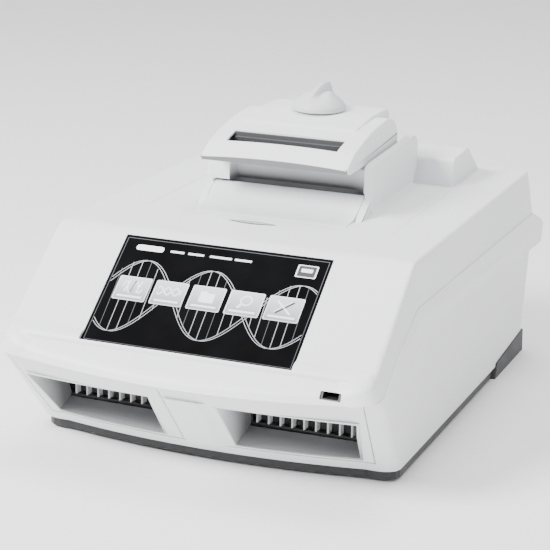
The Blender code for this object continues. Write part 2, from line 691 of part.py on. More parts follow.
def make_lock_bar():
    y, z = LOCK_PIVOT
    turns = [math.radians(10 + 34 * i) for i in range(6)]
    arc = [(y + 4.6 * math.sin(turn), z + 4.6 * math.cos(turn)) for turn in turns]
    outline = [(-38.0, 161.8), (-38.0, 166.4), (-17.0, 167.6), (5.6, 181.3), (7.4, 181.9), (9.4, 176.6), *arc,
               (-4.0, 165.0), (-26.0, 163.2), (-30.0, 161.8)]
    bar = prism("module_lock_bar", "x", outline, (-66, 66), WHITE)
    cut(bar, cylinder("bar_bore", "x", LOCK_PIVOT, 2.3, (-70, 70), sides=12))
    return pivot("lock_bar_axis", (0, y, z), bar)


def make_thermal_stack():
    y_in, y_out, half = BLOCK
    low, high = BLOCK_Z
    block = box("sample_block", (-half, y_in, low), (half, y_out, high), SILVER_BLOCK)
    wells = bmesh.new()
    middle = (y_in + y_out) / 2
    for row in range(8):
        for column in range(12):
            x, y = (column - 5.5) * WELL_PITCH, middle + (row - 3.5) * WELL_PITCH
            made = bmesh.ops.create_cone(wells, cap_ends=True, segments=6, radius1=1.5 * MM,
                                         radius2=3.0 * MM, depth=15.0 * MM)["verts"]
            bmesh.ops.translate(wells, vec=Vector((x, y, high - 6.5)) * MM, verts=made)
    cut(block, add("wells", mesh_from("wells", wells), None))
    seal = box("block_seal", (-56.7, y_in - 2.2, 188), (56.7, y_out + 2.0, 193), RUBBER)
    cut(seal, box("seal_hole", (-half - GAP, y_in - GAP, 180), (half + GAP, y_out + GAP, 200)))
    for i in range(6):
        x, y = (i % 3 - 1) * 36.0, middle + (i // 3 - 0.5) * 35.4
        box(f"peltier_{i + 1}", (x - 16.5, y - 16.5, 174.3), (x + 16.5, y + 16.5, 177.7), CERAMIC)
    sink = box("heat_sink", (-62, y_in - 2, 122), (62, y_out + 1.8, 174), ALUMINIUM)
    gaps = [((-59.5 + 9.2 * i, -50, 100), (-52.6 + 9.2 * i, 200, 167)) for i in range(13)]
    cut(sink, boxes("sink_gaps", gaps))


def make_module_frame():
    outline = [(84, 160.8), (84, 162.8), (70, 162.8), (70, 114), (-70, 114), (-70, 162.8), (-84, 162.8),
               (-84, 160.8), (-72, 160.8), (-72, 112), (72, 112), (72, 160.8)]
    prism("module_frame", "y", outline, (20, 125), ALUMINIUM)
    plug = box("module_connector", (-31, 100, 106), (31, 118, 111.7), BLACK)
    join(plug, box("connector_tongue", (-27.5, 104, 97), (27.5, 114, 108)))


# ---------------------------------------------------------------- lid
def make_lid():
    """Lid shell with its liner and lever pin; returns what turns on the lid's hinge."""
    skin = [(-27.7, 206.8), (-31.0, 211.0), (-18.0, 220.0), (-6.0, 225.0), (30.0, 231.0), (72.0, 234.5),
            (84.0, 232.0), (94.0, 225.5), (99.0, 214.5), (96.0, LID_BOTTOM), (-22.0, LID_BOTTOM)]
    room = [(-24.0, 200.0), (-24.0, 211.5), (-16.0, 217.3), (-5.0, 221.8), (30.0, 227.8), (72.0, 231.3),
            (82.0, 229.0), (91.0, 223.5), (95.5, 214.0), (92.5, 200.0)]
    lid = bevel(prism("lid_shell", "x", skin, (-LID_HALF, LID_HALF), WHITE), 3.0, 2)
    spine = [(20.0, 222.0), (24.0, 231.5), (62.0, 236.0), (104.0, 236.0), (109.0, 232.0), (109.0, 210.5),
             (80.0, 210.5), (60.0, 222.0)]
    slot = [(-14.0, 240.0), (-14.0, 209.5), (0.5, 209.5), (5.7, 240.0)]
    hollow = [(40.0, 226.0), (60.0, 233.0), (103.0, 233.0), (106.0, 230.5), (106.0, 200.0), (70.0, 200.0)]
    join(lid, bevel(prism("lid_spine", "x", spine, (-51, 51)), 2.0, 1))
    cut(lid, prism("lid_room", "x", room, (-LID_HALF + WALL, LID_HALF - WALL)),
        prism("spine_room", "x", hollow, (-48, 48)),
        prism("finger_slot", "x", slot, (-48.7, 48.7)),
        cylinder("screw_hole", "z", (0, KNOB_Y), 4.5, (220, 245), sides=12))
    for side in (-1, 1):
        eye, name = sorted((side * 34, side * 46)), side_name(side)
        join(lid, box(f"hinge_strap_{name}", (eye[0], 104.7, 203), (eye[1], 109.2, 213)),
             cylinder(f"hinge_eye_{name}", "x", HINGE, 5.4, eye, sides=16))
    cut(lid, cylinder("eye_bore", "x", HINGE, 3.3, (-60, 60), sides=12))
    liner = box("lid_liner", (-60.6, -20.5, LID_BOTTOM + 0.4), (60.6, 91.5, 207.8), LIGHT_GREY)
    cut(liner, box("plate_opening", (-56, 23, 150), (56, 130, 300)),
        box("hook_opening", (-9, 3, 150), (9, 30, 300)))
    for side in (-1, 1):
        lug = sorted_box((side * 9.3, 4.5, 206.5), (side * 13, 11.5, 215.5))
        join(liner, box(f"lever_lug_{side_name(side)}", *lug))
    cut(liner, cylinder("lug_bore", "x", LEVER_PIVOT, 1.8, (-20, 20), sides=10))
    pin = cylinder("lever_pin", "x", LEVER_PIVOT, 1.5, (-12.7, 12.7), STEEL, 10)
    return lid, liner, pin


def make_lever():
    plate = [(1.2, 221.5), (3.6, 222.0), (10.5, 214.5), (10.5, 210.3), (5.0, 208.2), (4.0, 212.0)]
    lever = prism("release_lever", "x", plate, (-47, 47), DARK_GREY)
    arm = [(5.5, 210.0), (5.5, 213.5), (24.3, 213.5), (24.3, 203.0), (22.3, 203.0), (21.1, 204.2),
           (21.1, 206.2), (22.3, 206.2), (22.3, 210.0)]
    join(lever, prism("lever_hook", "x", arm, (-6, 6)))
    cut(lever, cylinder("lever_bore", "x", LEVER_PIVOT, 1.8, (-60, 60), sides=10))
    for side in (-1, 1):
        space = sorted_box((side * 9.0, 3.6, 200), (side * 13.5, 14, 217.5))
        cut(lever, box(f"lug_clearance_{side_name(side)}", *space))
    return pivot("lever_axis", (0, *LEVER_PIVOT), lever)


def make_heated_plate():
    y_in, y_out, half = BLOCK
    plate = box("heated_plate", (-half + 0.7, y_in + 0.5, 203.5), (half - 0.7, y_out - 3.1, 208.5), ALUMINIUM)
    cut(plate, box("hook_notch", (-7.5, 0, 200), (7.5, 26.0, 212)))
    carrier = box("plate_carrier", (-44, 36, 215), (44, 90, 219), STEEL)
    cut(carrier, cylinder("nut_bore", "z", (0, KNOB_Y), 4.3, (200, 230), sides=12))
    for x in (-38, 38):
        for y in (42, 84):
            join(carrier, cylinder(f"plate_post_{x}_{y}", "z", (x, y), 3.0, (208.8, 216.0), sides=8))
    return pivot("plate_slide", (0, KNOB_Y, 215), plate, carrier)


def make_knob():
    profile = [(0.0, 251.8), (7.0, 251.8), (11.0, 250.9), (17.0, 246.4), (21.0, 242.8), (22.6, 241.0),
               (KNOB_RADIUS, 239.6), (KNOB_RADIUS, 237.0), (22.2, 236.3), (0.0, 236.3)]
    knob = turned("knob", profile, LIGHT_GREY, 24)
    grip = [(-20.5, 240.5), (-17.0, 246.2), (-11.0, 251.6), (-4.0, 255.6), (4.0, 258.2), (11.0, 258.8),
            (13.6, 258.6), (14.4, 240.5)]
    blade = prism("knob_grip", "x", grip, (-3.2, 3.2))
    join(knob, blade)
    screw = cylinder("lead_screw", "z", (0, 0), 4.0, (213.0, 236.0), STEEL, 10)
    axis = empty("knob_axis", (0, KNOB_Y, 0))
    for piece in (knob, blade, screw):
        piece.parent = axis
    knob.rotation_euler.z = KNOB_TURN
    blade.rotation_euler.z = KNOB_TURN
    return axis


def make_all():
    cover = make_top_cover()
    make_lower_housing()
    make_front_panel()
    for side in (-1, 1):
        make_grille(side)
        make_fan(side)
    make_base_tray()
    make_feet()
    make_display(cover)
    make_ports(cover)
    cut(cover, box("bay_opening", (-BAY_HALF, BAY_FRONT, 100), (BAY_HALF, 300, 260)))
    make_electronics()
    make_bay()
    make_rear()
    make_module_cover()
    make_thermal_stack()
    make_module_frame()
    lid = pivot("lid_axis", (0, *HINGE), *make_lid(), make_lever(), make_heated_plate(), make_knob())
    fixed = [PARTS.objects[name] for name in MODULE_PIECES]
    pivot("module_lift", (0, *LOCK_PIVOT), lid, make_lock_bar(), *fixed)


make_all()
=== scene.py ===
"""Looks of the bench-top thermal cycler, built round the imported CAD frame.

Sizes are in millimetres and MM turns them into the frame's metres. X runs to the operator's
right, -Y faces the operator, Z is up, and the origin is on the bench under the middle.
"""
import json
import math

import bmesh
import bpy
from mathutils import Matrix, Vector


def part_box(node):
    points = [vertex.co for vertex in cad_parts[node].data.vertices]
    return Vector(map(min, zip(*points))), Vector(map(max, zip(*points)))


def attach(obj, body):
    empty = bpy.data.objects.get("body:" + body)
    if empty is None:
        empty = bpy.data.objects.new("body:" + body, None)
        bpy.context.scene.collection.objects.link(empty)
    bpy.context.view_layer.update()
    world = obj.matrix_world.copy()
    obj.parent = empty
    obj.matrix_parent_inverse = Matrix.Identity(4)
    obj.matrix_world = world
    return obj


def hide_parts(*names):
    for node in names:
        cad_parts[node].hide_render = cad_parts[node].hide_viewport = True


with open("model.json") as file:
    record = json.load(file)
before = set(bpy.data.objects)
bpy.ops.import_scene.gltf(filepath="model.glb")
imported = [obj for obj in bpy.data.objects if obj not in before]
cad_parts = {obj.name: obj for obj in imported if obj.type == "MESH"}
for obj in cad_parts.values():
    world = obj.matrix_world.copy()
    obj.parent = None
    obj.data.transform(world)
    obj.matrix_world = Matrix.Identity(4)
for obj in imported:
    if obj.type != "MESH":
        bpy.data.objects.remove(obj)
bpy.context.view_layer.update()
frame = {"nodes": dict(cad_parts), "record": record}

MM = 0.001
WALL = 3
GAP = 0.3


def extent(node):
    """Lowest and highest corners of a CAD node in millimetres."""
    low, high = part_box(node)
    return Vector(low) / MM, Vector(high) / MM


# -------------------- sizes
_, COVER_HIGH = extent("top_cover")
HOUSING_LOW, HOUSING_HIGH = extent("lower_housing")
GLASS_LOW, GLASS_HIGH = extent("touch_glass")
MODULE_LOW, _ = extent("module_cover")
_, LID_HIGH = extent("lid_shell")
BLOCK_LOW, BLOCK_HIGH = extent("sample_block")
PIN_LOW, PIN_HIGH = extent("hinge_pin")

# Half sizes of the enclosure, and how far its bumper stands out and reaches down
HALF_DEPTH = COVER_HIGH.y
SEAM_HALF = COVER_HIGH.x
DECK_HALF = SEAM_HALF - 6.5
BASE_HALF = DECK_HALF + 2
BUMPER = HOUSING_HIGH.x - SEAM_HALF - 0.7
BUMPER_TALL = 33

# Side view: foot, rear of the deck, its crease with the screen's slope, and the seam from back to front
HOUSING_Z = HOUSING_LOW.z
REAR_Z = COVER_HIGH.z
CREASE = Vector((-113.5, REAR_Z - 2))
PANEL_SLOPE = math.radians(37.6)
PANEL_FRONT = 3.5 - HALF_DEPTH
LIP_Z = 79
SEAM = [(HALF_DEPTH, 130), (-121, 134), (-161, 112), (-195, 87.5), (-211, 85),
        (-HALF_DEPTH, LIP_Z)]

# Front face, whose lip and foot are bowed, and the back of its vent pockets
LIP_BOW = 9
FOOT_BOW = 16
FOOT_FRONT = -158
VENT_BACK = -135

# Module bay, lid, and the screen glass with the matrix that lays it on the slope
BAY_HALF = 106.3
BAY_FRONT = MODULE_LOW.y - GAP
HINGE = (PIN_LOW + PIN_HIGH) / 2
LID_HALF = LID_HIGH.x
GLASS_NEAR, GLASS_FAR = -6.4, -109.8
PANEL = Matrix.Translation(Vector((0, *CREASE)) * MM) @ Matrix.Rotation(PANEL_SLOPE, 4, "X")
SIDES = ((-1, "left"), (1, "right"))


# -------------------- materials
SPARK_GRAIN = 2600


class Look:
    """A node material laid out in the object's own coordinates."""

    def __init__(self, name, colour, roughness, metallic=0):
        self.material = bpy.data.materials.new(name)
        self.material.use_nodes = True
        self.nodes, self.links = self.material.node_tree.nodes, self.material.node_tree.links
        self.shader = self.nodes["Principled BSDF"]
        self.put("Base Color", (*colour, 1))
        self.put("Roughness", roughness)
        self.put("Metallic", metallic)
        self.place = self.nodes.new("ShaderNodeTexCoord").outputs["Object"]

    def put(self, socket, value):
        self.shader.inputs[socket].default_value = value

    def feed(self, socket, source):
        self.links.new(source, self.shader.inputs[socket])

    def noise(self, scale, detail=3, stretch=None):
        made = self.nodes.new("ShaderNodeTexNoise")
        made.inputs["Scale"].default_value = scale
        made.inputs["Detail"].default_value = detail
        place = self.place
        if stretch:
            mapping = self.nodes.new("ShaderNodeMapping")
            mapping.inputs["Scale"].default_value = stretch
            self.links.new(place, mapping.inputs["Vector"])
            place = mapping.outputs["Vector"]
        self.links.new(place, made.inputs["Vector"])
        return made.outputs["Fac"]

    def ramp(self, source, low, high, start=0.3, end=0.7):
        """Colour that goes from low to high while the source goes from start to end."""
        made = self.nodes.new("ShaderNodeValToRGB")
        for stop, place, colour in zip(made.color_ramp.elements, (start, end), (low, high)):
            stop.position = place
            stop.color = (*colour, 1)
        self.links.new(source, made.inputs["Fac"])
        return made.outputs["Color"]

    def spread(self, source, low, high):
        """Value that goes from low to high while the source goes from 0 to 1."""
        made = self.nodes.new("ShaderNodeMapRange")
        made.inputs["To Min"].default_value = low
        made.inputs["To Max"].default_value = high
        self.links.new(source, made.inputs["Value"])
        return made.outputs["Result"]

    def share_along(self, axis, start, end):
        """Value that goes from 0 to 1 between two places in millimetres along an axis."""
        parts = self.nodes.new("ShaderNodeSeparateXYZ")
        self.links.new(self.place, parts.inputs["Vector"])
        made = self.nodes.new("ShaderNodeMapRange")
        made.inputs["From Min"].default_value = start * MM
        made.inputs["From Max"].default_value = end * MM
        self.links.new(parts.outputs[axis], made.inputs["Value"])
        return made.outputs["Result"]

    def bump(self, source, strength, distance):
        made = self.nodes.new("ShaderNodeBump")
        made.inputs["Strength"].default_value = strength
        made.inputs["Distance"].default_value = distance * MM
        self.links.new(source, made.inputs["Height"])
        self.feed("Normal", made.outputs["Normal"])


def shaded(colour, factor):
    return tuple(min(1, channel * factor) for channel in colour)


def moulded(name, colour, roughness, grain=SPARK_GRAIN, depth=0.02, variation=0.03, sheen=0):
    """Moulded plastic: fine spark-eroded grain, faint flow variation and handled patches."""
    look = Look(name, colour, roughness)
    flow = look.noise(14, 4)
    low, high = shaded(colour, 1 - variation), shaded(colour, 1 + variation)
    look.feed("Base Color", look.ramp(flow, low, high))
    look.feed("Roughness", look.spread(flow, roughness - 0.07, roughness + 0.07))
    look.bump(look.noise(grain, 2), 0.35, depth)
    look.put("Specular IOR Level", 0.45)
    look.put("Coat Weight", sheen)
    return look.material


def brushed(name, colour, roughness, stretch, depth=0.006):
    """Drawn or milled metal with fine lines along one direction."""
    look = Look(name, colour, roughness, 1)
    lines, patches = look.noise(900, 4, stretch), look.noise(22, 3)
    look.feed("Base Color", look.ramp(patches, shaded(colour, 0.9), shaded(colour, 1.06)))
    look.feed("Roughness", look.spread(lines, roughness - 0.1, roughness + 0.14))
    look.bump(lines, 0.3, depth)
    return look.material


def rubbery(name, colour):
    """Dull rubber with pores and settled dust."""
    look = Look(name, colour, 0.75)
    dust = look.noise(35, 5)
    look.feed("Base Color", look.ramp(dust, colour, shaded(colour, 1.7), 0.45, 0.8))
    look.feed("Roughness", look.spread(dust, 0.62, 0.88))
    look.bump(look.noise(1400, 3), 0.5, 0.04)
    return look.material


def screen_glass(name):
    """Glossy cover glass over black, with faint finger marks."""
    look = Look(name, (0.0025, 0.0026, 0.003), 0.05)
    marks = look.noise(38, 6)
    look.feed("Base Color", look.ramp(marks, (0.002, 0.002, 0.0022), (0.004, 0.0041, 0.0048)))
    look.feed("Roughness", look.spread(marks, 0.03, 0.16))
    look.put("Specular IOR Level", 0.06)
    return look.material


def circuit(name):
    """Green board with a pattern of tracks."""
    look = Look(name, (0.02, 0.16, 0.07), 0.4)
    tracks = look.nodes.new("ShaderNodeTexBrick")
    tracks.inputs["Scale"].default_value = 90
    tracks.inputs["Color1"].default_value = (0.015, 0.15, 0.06, 1)
    tracks.inputs["Color2"].default_value = (0.02, 0.19, 0.08, 1)
    tracks.inputs["Mortar"].default_value = (0.05, 0.3, 0.14, 1)
    look.links.new(look.place, tracks.inputs["Vector"])
    look.feed("Base Color", tracks.outputs["Color"])
    look.bump(tracks.outputs["Fac"], 0.3, 0.05)
    return look.material


def painted_shade_ramp(name, near, far, axis, start, end):
    """Plastic with painted shade: its tone goes from near to far between two places along an axis."""
    look = Look(name, near, 0.55)
    look.feed("Base Color", look.ramp(look.share_along(axis, start, end), near, far, 0, 1))
    look.bump(look.noise(SPARK_GRAIN, 2), 0.35, 0.02)
    return look.material


def glowing(name, top, bottom, strength, low, high):
    """Lit picture element that fades from top to bottom of the panel between two heights."""
    look = Look(name, top, 0.35)
    tone = look.ramp(look.share_along("Z", low, high), bottom, top, 0, 1)
    look.feed("Base Color", tone)
    look.feed("Emission Color", tone)
    look.put("Emission Strength", strength)
    return look.material


WHITE = moulded("white_abs", (0.82, 0.83, 0.845), 0.42, variation=0.012)
SOFT_GREY = moulded("light_grey_abs", (0.60, 0.61, 0.63), 0.44)
# Painted shade: dark grey for the lip's downward-facing front and the foot of the finger recess.
LIP_SHADE = moulded("lip_painted_shade", (0.20, 0.203, 0.21), 0.5)
FIN_WHITE = moulded("fin_abs", (0.80, 0.81, 0.82), 0.5)
MATT_DARK = moulded("matt_grey_abs", (0.05, 0.051, 0.054), 0.8, depth=0.03, variation=0.08)
DARK = moulded("dark_grey_abs", (0.075, 0.076, 0.08), 0.45, depth=0.03, variation=0.12)
BLACK = moulded("black_plastic", (0.022, 0.022, 0.024), 0.42, depth=0.03, variation=0.15)
FOOT = rubbery("bumper_rubber", (0.055, 0.055, 0.058))
RUBBER = rubbery("rubber", (0.025, 0.025, 0.026))
# Painted shade for the finger recess: dark at its foot, light towards its top.
RECESS_SHADE = painted_shade_ramp("recess_painted_shade", (0.085, 0.087, 0.09), (0.72, 0.73, 0.74), "Z", 186.5, 201)
# Painted shade for the vent pockets: light at their mouths, dark deeper in.
VENT_SHADE = painted_shade_ramp("vent_painted_shade", (0.80, 0.81, 0.82), (0.20, 0.20, 0.21), "Y", -196, -150)
GLASS = screen_glass("screen_glass")
STEEL = brushed("plated_steel", (0.56, 0.57, 0.59), 0.34, (1, 18, 1))
ALUMINIUM = brushed("aluminium", (0.78, 0.79, 0.81), 0.32, (16, 1, 1))
SILVER = brushed("silver_block", (0.86, 0.87, 0.88), 0.24, (1, 14, 14), 0.003)
BOARD = circuit("circuit_board")
CERAMIC = moulded("ceramic", (0.85, 0.85, 0.82), 0.6)
SMOKED = moulded("smoked_lens", (0.12, 0.125, 0.135), 0.25, grain=600, sheen=0.4)
LAMP = moulded("light_pipe", (0.62, 0.68, 0.74), 0.22, grain=600, sheen=0.5)

CAD_LOOKS = {
    "white_abs": WHITE, "light_grey_abs": SOFT_GREY, "dark_grey_abs": DARK, "black_plastic": BLACK,
    "black_glass": GLASS, "rubber": RUBBER, "steel": STEEL, "aluminium": ALUMINIUM,
    "silver_block": SILVER, "circuit_board": BOARD, "ceramic": CERAMIC, "light_pipe": LAMP,
}


# -------------------- mesh tools
CYLINDER_SIDES = 32


def between(a, b, t):
    return a + (b - a) * t


def limited(value):
    return max(0, min(1, value))


def eased(t):
    return t * t * (3 - 2 * t)


def bend(start, corner, end, t):
    """Place at share t of a curve that leaves start and reaches end along the corner's sides."""
    return start * (1 - t) ** 2 + corner * 2 * t * (1 - t) + end * t * t


def along(stations, place):
    """Value at a place, from stations (place, value) that run downwards."""
    for (y0, z0), (y1, z1) in zip(stations, stations[1:]):
        if place >= y1:
            return between(z0, z1, (place - y0) / (y1 - y0))
    return stations[-1][1]


def make_object(name, work):
    bmesh.ops.recalc_face_normals(work, faces=work.faces)
    mesh = bpy.data.meshes.new(name)
    work.to_mesh(mesh)
    work.free()
    made = bpy.data.objects.new(name, mesh)
    bpy.context.scene.collection.objects.link(made)
    return made


def box(name, low, high):
    work = bmesh.new()
    low, high = Vector(low) * MM, Vector(high) * MM
    bmesh.ops.create_cube(work, size=1)
    bmesh.ops.scale(work, vec=high - low, verts=work.verts)
    bmesh.ops.translate(work, vec=(low + high) / 2, verts=work.verts)
    return make_object(name, work)


def rounded(corners, steps=6):
    """An outline whose corners (a, b, reach) are each replaced by a curve of that reach."""
    points = []
    for i, (a, b, reach) in enumerate(corners):
        here = Vector((a, b))
        if reach <= 0:
            points.append(here)
            continue
        before = (Vector(corners[i - 1][:2]) - here).normalized()
        after = (Vector(corners[(i + 1) % len(corners)][:2]) - here).normalized()
        start, end = here + before * reach, here + after * reach
        points += [bend(start, here, end, step / steps) for step in range(steps + 1)]
    return points


def rounded_rect(low, high, corner):
    (x0, y0), (x1, y1) = low, high
    return rounded([(x0, y0, corner), (x1, y0, corner), (x1, y1, corner), (x0, y1, corner)])


def ring_at(axis, outline, place):
    """Ring through an outline's (y, z), (x, z) or (x, y) points at a place along an axis."""
    if axis == "x":
        return [Vector((place, a, b)) * MM for a, b in outline]
    if axis == "y":
        return [Vector((a, place, b)) * MM for a, b in outline]
    return [Vector((a, b, place)) * MM for a, b in outline]


def prism(name, axis, outline, span):
    """A flat outline drawn out along an axis."""
    return loft(name, [ring_at(axis, outline, place) for place in span])


def skin_rings(work, rings):
    """Faces between rings that have equal numbers of points; returns the rings' vertices."""
    loops = [[work.verts.new(point) for point in points] for points in rings]
    count = len(loops[0])
    for lower, upper in zip(loops, loops[1:]):
        for i in range(count):
            j = (i + 1) % count
            work.faces.new((lower[i], lower[j], upper[j], upper[i]))
    return loops


def loft(name, rings):
    """A solid skinned through rings, with a flat face at each end."""
    work = bmesh.new()
    loops = skin_rings(work, rings)
    work.faces.new(loops[0])
    work.faces.new(loops[-1])
    return make_object(name, work)


def cylinder(name, axis, centre, radius, span):
    turns = [2 * math.pi * i / CYLINDER_SIDES for i in range(CYLINDER_SIDES)]
    outline = [(centre[0] + radius * math.cos(t), centre[1] + radius * math.sin(t)) for t in turns]
    return prism(name, axis, outline, span)


def combine(piece, operation, *others, folded=False):
    """Adds, removes or keeps other shapes; folded is for a piece whose own walls cross each other."""
    for other in others:
        step = piece.modifiers.new(other.name, "BOOLEAN")
        step.operation = operation
        step.object = other
        step.solver = "EXACT"
        step.use_self = folded
    return bake(piece)


def bake(piece):
    """Applies the modifiers and removes the shapes that they used."""
    used = [step.object for step in piece.modifiers if step.type == "BOOLEAN"]
    shape = piece.evaluated_get(bpy.context.evaluated_depsgraph_get())
    piece.data = bpy.data.meshes.new_from_object(shape)
    piece.modifiers.clear()
    for other in used:
        bpy.data.objects.remove(other)
    return piece


def cut(piece, *others):
    return combine(piece, "DIFFERENCE", *others)


def add_bevel(piece, width, segments, angle):
    step = piece.modifiers.new("soft_edges", "BEVEL")
    step.width = width * MM
    step.segments = segments
    step.limit_method = "ANGLE"
    step.angle_limit = math.radians(angle)
    return step


def soften(piece, width, segments=3, angle=35):
    """Rounds the edges sharper than an angle."""
    add_bevel(piece, width, segments, angle).use_clamp_overlap = False
    return bake(piece)


def show(piece, body, look, slot, *replaced, crisp=38):
    """Finishes a visible piece: its shading, material, body and the CAD nodes it stands for."""
    for face in piece.data.polygons:
        face.use_smooth = True
    piece.data.set_sharp_from_angle(angle=math.radians(crisp))
    even = piece.modifiers.new("even_shading", "WEIGHTED_NORMAL")
    even.weight = 100
    even.keep_sharp = True
    piece.data.materials.clear()
    piece.data.materials.append(look)
    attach(piece, body)
    if replaced:
        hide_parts(*replaced)
    return piece


def white(piece, body, *replaced, crisp=38):
    """Finishes a visible piece in the white plastic of the covers."""
    return show(piece, body, WHITE, "white_abs", *replaced, crisp=crisp)


# -------------------- enclosure form
SIDE_YS = [190, 140, 90, 40, -10, -50, -80, -98, -104, -108, -112, -116, -120, -124, -130, -140, -150,
           -158, -164, -172, -180, -188]
CORNER_STEPS, BEND_STEPS, FRONT_STEPS = 6, 12, 8
FRONT_START = 3 + CORNER_STEPS + len(SIDE_YS)
BOW_AT = 140


def bowed(bow, x):
    """How far a front with a bow has fallen back at x."""
    return bow * (x / BOW_AT) ** 2


def deck_z(y):
    """Deck and sloped panel, with a soft crease between them."""
    soft, fall = 7, math.tan(PANEL_SLOPE)
    flat = between(CREASE.y, REAR_Z, max(0, y - CREASE.x) / (HALF_DEPTH - CREASE.x))
    reach = (CREASE.x + soft - y) / (2 * soft)
    if reach <= 0:
        return flat
    if reach >= 1:
        return CREASE.y - (CREASE.x - y) * fall
    return flat - fall * soft * reach * reach


def seam_z(y):
    return along(SEAM, y)


def level(half, rear, corner, side_end, front, bow, z_side, z_front):
    """Half of a level line round the enclosure: rear middle, +X side, front middle."""
    inner, z_rear = half - corner, z_side(rear)
    points = [Vector((x, rear, z_rear)) for x in (0, 60, inner)]
    for i in range(1, CORNER_STEPS + 1):
        turn = math.radians(90 / CORNER_STEPS * i)
        y = rear - corner + corner * math.cos(turn)
        points.append(Vector((inner + corner * math.sin(turn), y, z_rear)))
    scale = (rear - corner - side_end) / (SIDE_YS[0] - SIDE_YS[-1] + 20)
    if side_end > -180:
        ys = [side_end + (y - SIDE_YS[-1]) * scale for y in SIDE_YS]
    else:
        ys = SIDE_YS[:-1] + [side_end]
    points += [Vector((half, y, z_side(y))) for y in ys]
    start, end_x = points[-1], half - 24

    def front_point(x):
        return Vector((x, front + bowed(bow, x), z_front(x)))

    end = front_point(end_x)
    middle = Vector((start.x, end.y - 1.5, (start.z + end.z) / 2))
    points += [bend(start, middle, end, i / BEND_STEPS) for i in range(1, BEND_STEPS)]
    points += [front_point(end_x * (1 - i / FRONT_STEPS)) for i in range(FRONT_STEPS + 1)]
    return points


def deck_line(inset, front_inset):
    """The cover's upper edge, moved inwards at the sides and at the front."""
    front = PANEL_FRONT + front_inset
    return level(DECK_HALF - inset, HALF_DEPTH - inset - 1, 6, -196 + front_inset, front, LIP_BOW,
                 deck_z, lambda x: deck_z(front + bowed(LIP_BOW, x)))


def seam_line(outset, front_inset):
    """The joint between cover and housing, moved outwards at the sides and inwards at the front."""
    return level(SEAM_HALF + outset, HALF_DEPTH, 8, -195, front_inset - HALF_DEPTH, LIP_BOW, seam_z,
                 lambda x: seam_z(bowed(LIP_BOW, x) - HALF_DEPTH))


def base_line():
    """The housing's lower edge, where its front is furthest back."""
    return level(BASE_HALF, HALF_DEPTH - 3, 8, -132, FOOT_FRONT, FOOT_BOW, lambda y: HOUSING_Z,
                 lambda x: HOUSING_Z)


def ring(half_line):
    """A whole level line from its half, in metres."""
    mirrored = [Vector((-point.x, point.y, point.z)) for point in half_line[1:-1]]
    return [point * MM for point in half_line + mirrored[::-1]]


def close_ring(work, loop):
    """Strips from side to side across a level line."""
    count, last = len(loop), len(loop) // 2
    work.faces.new([loop[count - 1], loop[0], loop[1]])
    for i in range(1, last - 1):
        work.faces.new((loop[i], loop[i + 1], loop[count - i - 1], loop[count - i]))
    work.faces.new([loop[last - 1], loop[last], loop[last + 1]])


def ring_solid(name, rings):
    """A solid through level lines."""
    work = bmesh.new()
    loops = skin_rings(work, rings)
    close_ring(work, loops[0])
    close_ring(work, loops[-1])
    return make_object(name, work)


def ring_shell(name, rings):
    """An open wall through level lines."""
    work = bmesh.new()
    skin_rings(work, rings)
    piece = make_object(name, work)
    skin = piece.modifiers.new("wall", "SOLIDIFY")
    skin.thickness = WALL * MM
    skin.offset = -1
    skin.use_even_offset = True
    return bake(piece)


def seam_side(name, shift, above):
    """Everything above or below the seam, to cut away."""
    reach, far = 30, 300 if above else -100
    line = [(y + (reach if y == HALF_DEPTH else 0), z + shift) for y, z in SEAM]
    line.append((-HALF_DEPTH - reach, LIP_Z + shift))
    return prism(name, "x", line + [(line[-1][0], far), (line[0][0], far)], (-200, 200))


def on_face(z):
    """y of the front face's centre line at a height."""
    return between(FOOT_FRONT, 2 - HALF_DEPTH, (z - HOUSING_Z) / (LIP_Z - HOUSING_Z))


# -------------------- top cover
def cover_rings(inset):
    """Level lines of the cover from its skirt to its deck, moved inwards by inset."""
    lowered = Vector((0, 0, inset))
    seam = seam_line(-inset, inset)
    edge = [point - lowered for point in deck_line(inset, inset)]
    inner = [point - lowered for point in deck_line(6 + inset, 12 + inset)]
    side_reach, front_reach, steps = 3, 10, 6
    skirt = [point - Vector((0, 0, 5)) - 2 * lowered for point in seam]
    fillet = [[] for _ in range(steps + 1)]
    for i, (low, corner, deck) in enumerate(zip(seam, edge, inner)):
        t = eased(limited((i - FRONT_START + 6) / 12))
        up = min(between(side_reach, 4, t), 0.8 * (low - corner).length)
        start = corner + (low - corner).normalized() * up
        end = corner + (deck - corner).normalized() * between(side_reach, front_reach, t)
        for step, line in enumerate(fillet):
            line.append(bend(start, corner, end, step / steps))
    return [ring(line) for line in [skirt, seam, *fillet]]


def make_top_cover():
    cover = ring_solid("cover_moulding", cover_rings(0))
    half, rim = GLASS_HIGH.x, 6
    recess = box("recess", (-half - GAP, GLASS_FAR - GAP, -2.2), (half + GAP, GLASS_NEAR + GAP, 20))
    window = box("window", (-half + rim, GLASS_FAR + rim, -20), (half - rim, GLASS_NEAR - rim, 20))
    for shape in (recess, window):
        shape.data.transform(PANEL)
    usb = prism("usb_opening", "y", rounded_rect((112, 86), (128, 91.5), 1), (-230, -185))
    lamp = prism("lamp_hole", "z", lens_outline(21.6, 4.4), (150, 180))
    bay = box("bay_opening", (-BAY_HALF, BAY_FRONT, 100), (BAY_HALF, 300, 260))
    cut(cover, ring_solid("cover_room", cover_rings(WALL)), seam_side("under_seam", 0, False), bay,
        recess, window, usb, lamp)
    return white(cover, "base", "top_cover")


def lens_outline(half, thick):
    """Flat lens drawn about its middle, with blunt ends."""
    x, y = -6, -57
    return rounded([(x - half, y, 1.2), (x, y - 2 * thick + 1.5, 16), (x + half, y, 1.2),
                    (x, y + 2 * thick - 1.5, 16)], 8)


